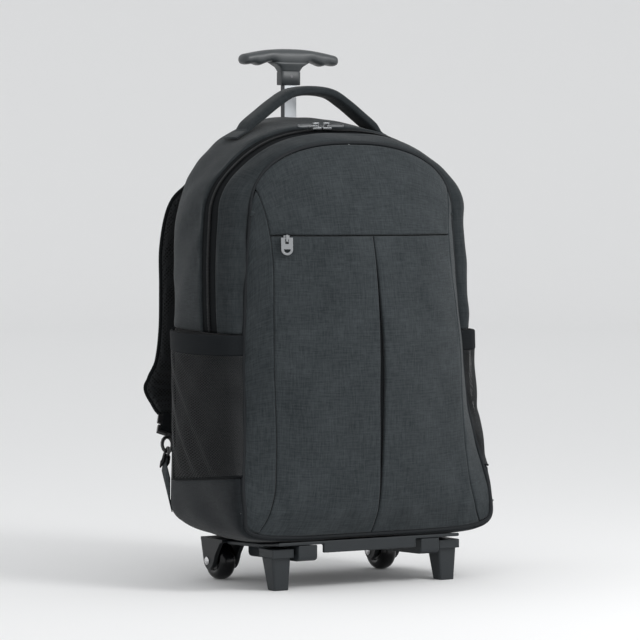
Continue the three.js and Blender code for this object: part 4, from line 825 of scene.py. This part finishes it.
# The side pockets: elastic knitted net with a curved foot, bound in black tape, under a wide elastic band.
# The net stands off the side where a bottle would go, and falls in slack slanting folds.
pocket_rear, band_height = 0.9, 22


def pocket_stand(depth, z):
    up = np.maximum((z - pocket_bottom(depth)) / 147, 0)
    bow = np.maximum(np.sin(np.pi * np.minimum(depth / pocket_rear, 1)), 0) ** 0.6
    return 0.6 + 13 * bow * np.minimum(1, (up / 0.35) ** 0.7)


def net_tree():
    tree = bpy.data.node_groups.new("knitted_net", "GeometryNodeTree")
    tree.interface.new_socket("Cells", in_out="INPUT", socket_type="NodeSocketGeometry")
    tree.interface.new_socket("Yarn", in_out="INPUT", socket_type="NodeSocketFloat")
    tree.interface.new_socket("Finish", in_out="INPUT", socket_type="NodeSocketMaterial")
    tree.interface.new_socket("Net", in_out="OUTPUT", socket_type="NodeSocketGeometry")
    link = tree.links.new
    start, end = tree.nodes.new("NodeGroupInput"), tree.nodes.new("NodeGroupOutput")
    curve = tree.nodes.new("GeometryNodeMeshToCurve")
    section = tree.nodes.new("GeometryNodeCurvePrimitiveCircle")
    section.inputs["Resolution"].default_value = 4
    yarn = tree.nodes.new("GeometryNodeCurveToMesh")
    real = tree.nodes.new("GeometryNodeRealizeInstances")
    painted = tree.nodes.new("GeometryNodeSetMaterial")
    link(start.outputs["Cells"], curve.inputs["Mesh"])
    link(start.outputs["Yarn"], section.inputs["Radius"])
    link(curve.outputs["Curve"], yarn.inputs["Curve"])
    link(section.outputs["Curve"], yarn.inputs["Profile Curve"])
    link(yarn.outputs["Mesh"], real.inputs["Geometry"])
    link(real.outputs["Geometry"], painted.inputs["Geometry"])
    link(start.outputs["Finish"], painted.inputs["Material"])
    link(painted.outputs["Geometry"], end.inputs["Net"])
    return tree


knitted_net = net_tree()
net_yarn, shader = finish("net_yarn", 0.5, (0.009, 0.0105, 0.012), level=0.4)
where = add(net_yarn, "ShaderNodeTexCoord").outputs["Object"]
twist = add(net_yarn, "ShaderNodeTexNoise", {"Vector": where, "Scale": 1400.0})
bumped(net_yarn, shader, twist.outputs["Fac"], 0.5, 0.0002)
band_elastic, shader = finish("band_elastic", 0.8, (0.008, 0.0095, 0.011), level=0.12)
where = add(band_elastic, "ShaderNodeTexCoord").outputs["UV"]
rib = add(band_elastic, "ShaderNodeTexWave", {"Vector": where, "Scale": 190.0, "Distortion": 0.4}, bands_direction="Y")
cord_rib = add(band_elastic, "ShaderNodeTexWave", {"Vector": where, "Scale": 330.0, "Distortion": 0.8},
               bands_direction="X")
both = add(band_elastic, "ShaderNodeMix", {"Factor": 0.4, 2: rib.outputs["Fac"], 3: cord_rib.outputs["Fac"]},
           data_type="FLOAT")
bumped(band_elastic, shader, both.outputs[0], 0.4, 0.0003)


def tube(name, line, radius, material, body="bag", sides=10):
    line = np.asarray(line, float)
    ahead = np.gradient(line, axis=0)
    ahead /= np.linalg.norm(ahead, axis=1, keepdims=True)
    across = np.cross(ahead[0], (0.3, 0.2, 0.93))
    rings = []
    for p, t in zip(line, ahead):
        across = across - t * (across @ t)
        across /= np.linalg.norm(across)
        rings.append(rounded_ring(p, across, np.cross(t, across), radius, radius, sides, 1))
    return new_piece(name, lofted(name, rings), material, body)


for side, sign in (("left", -1), ("right", 1)):
    whole = side_surface(sign, pocket_bottom, lambda depth: pocket_top(depth) - band_height + 1, edge_depth, pocket_rear)

    def net_point(u, v):
        u, v = np.clip(u, 0, 1), np.clip(v, 0, 1)
        at, out = on_surface(whole, np.clip(u, 0.002, 0.998), np.clip(v, 0.002, 0.998), 0)
        depth = depth_between(edge_depth, pocket_rear, u)
        z = pocket_bottom(depth) + (pocket_top(depth) - band_height - pocket_bottom(depth)) * v
        slack = 1.5 * np.sin(at[..., 2] / 7.5 - at[..., 1] * 0.16 + 1.4 * np.sin(at[..., 2] / 31 + sign)) * (1 - v) ** 0.35
        slack = slack * np.clip(np.minimum(u, 1 - u) / 0.12, 0, 1) * np.clip(v / 0.1, 0, 1)
        return at + out * (pocket_stand(depth, z) + slack)[..., None]

    across_count, up_count = 76, 92
    index, places, edges = {}, [], []
    for i in range(across_count + 1):
        for j in range(up_count + 1):
            if (i + j) % 2 == 0:
                index[i, j] = len(places)
                places.append((i / across_count, j / up_count))
    for i, j in index:
        for way in (-1, 1):
            if (i + 1, j + way) in index:
                edges.append((index[i, j], index[i + 1, j + way]))
    places = np.array(places)
    points = net_point(places[:, 0], places[:, 1])
    cells = bpy.data.meshes.new("net_cells")
    cells.from_pydata((points * 0.001).tolist(), edges, [])
    piece = from_tree("net_" + side, cells, knitted_net, {"Yarn": 0.00033}, net_yarn)
    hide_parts("mesh_pocket_" + side)
    t = np.linspace(0, 1, 80)
    rim = np.concatenate([net_point(0 * t, 1 - t), net_point(t, 0 * t)[1:], net_point(1 + 0 * t, t)[1:]])
    tube("net_binding_" + side, rim, 1.15, black_tape)

    under_band = side_surface(sign, lambda d: pocket_top(d) - band_height, pocket_top, edge_depth, pocket_rear)

    def band_surface(u, v):
        depth = depth_between(edge_depth, pocket_rear, u)
        z = pocket_top(depth) - band_height * (1 - np.asarray(v, float))
        at, out = on_surface(under_band, np.clip(u, 0.002, 0.998), np.clip(v, 0.02, 0.98), 0)
        return at - (0, shift, 0) + out * (pocket_stand(depth, z) + 0.9)[..., None]

    panel("elastic_band_" + side, band_surface, (110, 12), band_elastic, wall=1.6, lip=1.0,
          node="pocket_band_" + side)

# The back: a foam pad under black air mesh, sewn down along a spine channel and across the waist,
# with softer cushions of the same mesh on both sides of the spine and a lumbar cushion below.
def back_surface(u, v):
    across, up = 2 * np.asarray(u, float) - 1, np.asarray(v, float)
    wide = np.minimum(np.abs(across), 1)
    low_edge = back_cut["bottom"] + back_cut["corner"] * (1 - (1 - wide**3.4) ** (1 / 3.4))
    high_edge = 350 + 126 * (1 - wide**2.15) ** (1 / 2.15)
    crown = (1 - wide**5) * (1 - np.abs(2 * up - 1) ** 7)
    return np.stack([across * back_cut["width"](np.clip(up, 0, 1)), back_plane + 4 + 7 * crown,
                     low_edge + (high_edge - low_edge) * up], -1)


def air_mesh(name, colour, cell):
    material, shader = finish(name, 0.7, colour, level=0.2)
    link = material.node_tree.links.new
    where = add(material, "ShaderNodeTexCoord").outputs["Object"]
    slanted = add(material, "ShaderNodeMapping", {"Vector": where, "Rotation": (0.0, math.radians(45), 0.0)})
    holes = add(material, "ShaderNodeTexVoronoi",
                {"Vector": slanted.outputs["Vector"], "Scale": 1 / cell, "Randomness": 0.12})
    ring = add(material, "ShaderNodeMapRange", {"Value": holes.outputs["Distance"], "From Min": 0.22, "From Max": 0.5})
    # The cells' middles are painted near black as shade down in the holes; the ridges between them are lighter.
    tone = add(material, "ShaderNodeMix", {"Factor": ring.outputs["Result"]}, data_type="RGBA")
    tone.inputs[6].default_value = (*[c * 0.25 for c in colour], 1)
    tone.inputs[7].default_value = (*[c * 1.5 for c in colour], 1)
    link(tone.outputs[2], shader.inputs["Base Color"])
    yarn = add(material, "ShaderNodeTexNoise", {"Vector": where, "Scale": 1300.0})
    relief = add(material, "ShaderNodeMix", {"Factor": 0.2, 2: ring.outputs["Result"], 3: yarn.outputs["Fac"]},
                 data_type="FLOAT")
    bumped(material, shader, relief.outputs[0], 0.8, 0.0007)
    return material


black_air_mesh = air_mesh("black_air_mesh", (0.010, 0.011, 0.012), 0.0028)
panel("back_pad", back_surface, (70, 110), black_air_mesh, lip=4.0, wall=1.2,
      raise_by=lambda u, v: -2.2 * np.exp(-((2 * u - 1) / 0.09) ** 2) - 1.6 * np.exp(-((v - 0.3) / 0.022) ** 2),
      folds=lambda points, u, v: waves(points, ((60, 0.6),), 31), node="back_panel")


def slab(name, surface, thickness, counts=(26, 60)):
    u, v = np.meshgrid(np.linspace(0, 1, counts[0]), np.linspace(0, 1, counts[1]), indexing="ij")
    below, out = on_surface(surface, u, v, 0.2)
    above = below + out * thickness
    rows, columns = counts
    places = np.concatenate([below.reshape(-1, 3), above.reshape(-1, 3)]) * 0.001
    faces, n = [], rows * columns
    for i in range(rows - 1):
        for j in range(columns - 1):
            k = i * columns + j
            faces.append((k, k + 1, k + columns + 1, k + columns))
            faces.append((n + k, n + k + columns, n + k + columns + 1, n + k + 1))
    rim = [(i, 0) for i in range(rows)] + [(rows - 1, j) for j in range(1, columns)]
    rim += [(i, columns - 1) for i in range(rows - 2, -1, -1)] + [(0, j) for j in range(columns - 2, 0, -1)]
    for (a, b), (c, d) in zip(rim, rim[1:] + rim[:1]):
        faces.append((a * columns + b, c * columns + d, n + c * columns + d, n + a * columns + b))
    made = bmesh.new()
    corners = [made.verts.new(p) for p in places]
    for face in faces:
        made.faces.new([corners[k] for k in face])
    bmesh.ops.recalc_face_normals(made, faces=made.faces)
    mesh = bpy.data.meshes.new(name)
    made.to_mesh(mesh)
    made.free()
    return mesh


def swollen(name, mesh, cap, voxel=0.0048, pressure=4.0):
    holder = bpy.data.objects.new(name, mesh)
    bpy.context.scene.collection.objects.link(holder)
    remesh = holder.modifiers.new("even_cloth", "REMESH")
    remesh.mode = "VOXEL"
    remesh.voxel_size = voxel
    even = bpy.data.meshes.new_from_object(holder.evaluated_get(bpy.context.evaluated_depsgraph_get()))
    holder.modifiers.clear()
    holder.data = even
    start = np.empty(len(even.vertices) * 3)
    even.vertices.foreach_get("co", start)
    cloth = holder.modifiers.new("swell", "CLOTH")
    cloth.settings.use_pressure = True
    cloth.settings.uniform_pressure_force = pressure
    cloth.settings.effector_weights.gravity = 0
    cloth.settings.quality = 5
    cloth.point_cache.frame_start, cloth.point_cache.frame_end = 1, 20
    for frame_number in range(1, 21):
        bpy.context.scene.frame_set(frame_number)
    grown = bpy.data.meshes.new_from_object(holder.evaluated_get(bpy.context.evaluated_depsgraph_get()))
    end = np.empty(len(grown.vertices) * 3)
    grown.vertices.foreach_get("co", end)
    move = (end - start).reshape(-1, 3)
    far = np.linalg.norm(move, axis=1, keepdims=True)
    move *= np.minimum(1, cap / np.maximum(far, 1e-9))
    even.vertices.foreach_set("co", start + move.ravel())
    bpy.context.scene.frame_set(1)
    bpy.data.objects.remove(holder)
    even.update()
    return even


def back_zone(across_low, across_high, up_low, up_high):
    def surface(u, v):
        across = across_low + (across_high - across_low) * np.asarray(u, float)
        up = up_low + (up_high - up_low) * np.asarray(v, float)
        return back_surface((across + 1) / 2, up) + (0, 0.3, 0)
    return surface


for name, zone in (("back_cushion_left", back_zone(-0.70, -0.14, 0.36, 0.74)),
                   ("back_cushion_right", back_zone(0.14, 0.70, 0.36, 0.74)),
                   ("lumbar_cushion", back_zone(-0.62, 0.62, 0.07, 0.25))):
    cushion = new_piece(name, swollen(name, slab(name, zone, 5.0), 0.0045), black_air_mesh, "bag")
    smooth = cushion.modifiers.new("smooth_cloth", "SUBSURF")
    smooth.levels = smooth.render_levels = 1

# The shoulder straps: curved foam pads in air mesh with taped edges, sewn under the top of the back
# and narrowed at the foot, where a folded webbing runs through a ladder lock.
strap_rows = [(0.3937, 0.0613, 0.8051, 1), (0.4094, 0.1489, 0.8376, 1), (0.4488, 0.4274, 0.8538, 1), (0.5197, 0.7233, 0.8190, 1),
              (0.5984, 0.9078, 0.7726, 1), (0.6693, 0.8895, 0.6845, 1), (0.6929, 0.7982, 0.5916, 1), (0.7087, 0.7616, 0.4872, 1),
              (0.7480, 0.8347, 0.4060, 0.94), (0.8110, 0.9626, 0.3550, 0.9), (0.8425, 0.9984, 0.3295, 0.82),
              (0.8661, 0.8986, 0.3016, 0.5), (0.8661, 0.7854, 0.2831, 0.36)]
strap_width, strap_thickness, strap_root, strap_bow, back_height = 64, 10.5, 91, 54.66, 431
strap_rows = [(i, across * 127, strap_root + bow * strap_bow, back_cut["bottom"] + up * back_height, wide)
              for i, (across, bow, up, wide) in enumerate(strap_rows)]


def strap_frame(sign, count):
    at = np.linspace(0, len(strap_rows) - 1, count)
    x, y, z, wide = (row_values(strap_rows, column, at) for column in (1, 2, 3, 4))
    centre = np.stack([sign * x, y + shift, z], -1)
    ahead = np.gradient(centre, axis=0)
    ahead /= np.linalg.norm(ahead, axis=1, keepdims=True)
    across = np.array([1.0, 0, 0]) - ahead * ahead[:, :1]
    across /= np.linalg.norm(across, axis=1, keepdims=True)
    return centre, ahead, across, np.cross(across, ahead), wide


thread, _ = finish("grey_thread", 0.6, (0.05, 0.055, 0.058))
for side, sign in (("left", -1), ("right", 1)):
    centre, ahead, across, through, wide = strap_frame(sign, 110)
    ends = np.minimum(np.arange(110), np.arange(110)[::-1]) / 109 / 0.06
    thick = strap_thickness * np.minimum(1, 0.45 + 0.55 * ends)
    angle = (np.arange(36) + 0.5) / 36 * 2 * np.pi
    rings = []
    for p, a, t, w, h in zip(centre, across, through, wide, thick):
        c = np.sign(np.cos(angle)) * np.abs(np.cos(angle)) ** 0.6
        s = np.sin(angle)
        crown = 0.28 + 0.72 * np.clip((1 - np.abs(c)) / 0.14, 0, 1) ** 0.6
        rings.append(p + np.outer(c * strap_width * w / 2 * 0.985, a)
                     + np.outer(np.sign(s) * np.abs(s) ** 0.5 * h / 2 * crown, t))
    strap = new_piece("strap_pad_" + side, lofted("strap_pad_" + side, rings), black_air_mesh, "bag")
    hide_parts("shoulder_strap_" + side)
    for edge_name, way in (("outer", 1), ("inner", -1)):
        line = centre + across * (way * strap_width / 2 * 0.97 * wide)[:, None]
        rings = [rounded_ring(p, a, t, 1.9, 2.1, 10, 0.8) for p, a, t in zip(line, across, through)]
        new_piece(f"strap_{edge_name}_tape_{side}", lofted("strap_tape", rings), black_tape, "bag")
    out_way = through if np.mean(through[40:80, 1]) > 0 else -through
    run = slice(6, 104)
    top = centre + out_way * (thick / 2 + 0.55)[:, None]
    rings = [rounded_ring(p, a, t, 10 * w, 0.7, 12, 0.5)
             for p, a, t, w in zip(top[run], across[run], out_way[run], wide[run])]
    new_piece("strap_webbing_" + side, lofted("strap_webbing", rings), black_tape, "bag")
    lines = [(top[run] + out_way[run] * 0.7 + across[run] * (gap * wide[run])[:, None], out_way[run])
             for gap in (-8.2, 8.2)]
    row_of("strap_stitches_" + side, lines, thread, pitch=3.4, length=2.4, width=0.6, height=0.5)

# The carry handle: a soft roll of the gusset's cloth over foam rope, flattened and sewn down at both feet
# on the rear gusset, with a faint crease where each foot lifts off.
carry_back = 30
carry_depth = (carry_back + front_at_top) / top_depth


def gusset_at_x(x):
    return solve(np.array([0.62]), np.array([1.0]), -x, lambda place: -gusset(place, carry_depth)[..., 0])[0]


feet = []
for x in (93, 86, 79):
    at, _ = on_surface(gusset, np.array([gusset_at_x(x)]), np.array([carry_depth]), 2.4)
    feet.append(at[0])
span = [(72.2, 471.2), (58.8, 481.2), (42, 493.2), (23.5, 503.4), (0, 506.2)]
carry_line = feet + [np.array([x, carry_back + shift, z]) for x, z in span]
carry_line += [p * (-1, 1, 1) for p in carry_line[-2::-1]]
rows = [(i, *p) for i, p in enumerate(carry_line)]
last = len(rows) - 1
at = np.linspace(0, last, 150)
line = np.stack([row_values(rows, column, at) for column in (1, 2, 3)], -1)
ahead = np.gradient(line, axis=0)
ahead /= np.linalg.norm(ahead, axis=1, keepdims=True)
rings = []
for p, t, i in zip(line, ahead, at):
    a = np.array([0, 1.0, 0])
    n = np.cross(a, t)
    from_end = min(i, last - i)
    thick = 3.6 + 6.4 * np.clip((from_end - 1.6) / 1.2, 0, 1) ** 0.8
    thick -= 0.9 * math.exp(-((from_end - 2.0) / 0.16) ** 2)
    wide = 26 + 1.2 * math.exp(-((from_end - 0.8) / 0.9) ** 2)
    rings.append(rounded_ring(p, a, n, wide / 2, thick / 2, 32, 0.62))
handle_mesh = lofted("carry_roll", rings)
round_m = np.linspace(0, 0.068, 33)
long_m = np.concatenate([[0], np.cumsum(np.linalg.norm(np.diff(line, axis=0), axis=1))]) * 0.001
corner = np.zeros(len(handle_mesh.loops), np.int32)
handle_mesh.loops.foreach_get("vertex_index", corner)
flat = np.stack([long_m[corner // 32], round_m[corner % 32]], -1)
handle_mesh.uv_layers.new(name="threads").data.foreach_set("uv", flat.ravel())
# The handle uses the gusset's darker copy of the cloth, with its painted shade.
handle = new_piece("carry_roll", handle_mesh, gusset_cloth_painted_shade, "bag")
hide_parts("carry_handle")

# The harness at the foot of each strap: webbing through a ladder lock, a snap hook in a D ring, and a
# cloth wing with a folded tab that is sewn into the lower back seam.
black_acetal = moulded("black_acetal", (0.011, 0.011, 0.012), 0.32, 0.2)
wing_cloth = melange("wing_melange_cloth", (0.020, 0.0245, 0.027), (0.046, 0.053, 0.057), where_from="Object")
for side in ("left", "right"):
    for node in ("d_ring_", "snap_hook_", "ladder_lock_"):
        eased(node + side, black_acetal, 0.0003, angle=30)
    for node in ("lower_webbing_", "anchor_tab_"):
        eased(node + side, black_tape, 0.0003, angle=40)
    eased("anchor_wing_" + side, wing_cloth, 0.0003, angle=40)

# The zip sliders and their pulls: gunmetal castings with eased edges, on the coil of each zip.
gunmetal, shader = finish("gunmetal", 0.3, (0.34, 0.35, 0.36), metallic=1.0)
where = add(gunmetal, "ShaderNodeTexCoord").outputs["Object"]
cast = add(gunmetal, "ShaderNodeTexNoise", {"Vector": where, "Scale": 420.0, "Detail": 3.0})
wear = add(gunmetal, "ShaderNodeMapRange", {"Value": cast.outputs["Fac"], "To Min": 0.2, "To Max": 0.42})
gunmetal.node_tree.links.new(wear.outputs["Result"], shader.inputs["Roughness"])
for node in ("main_left_slider", "main_right_slider", "front_slider"):
    eased(node, gunmetal, 0.0004, angle=30)
for node in ("main_left_pull", "main_right_pull", "front_pull"):
    eased(node, gunmetal, 0.00035, body=node, angle=30)
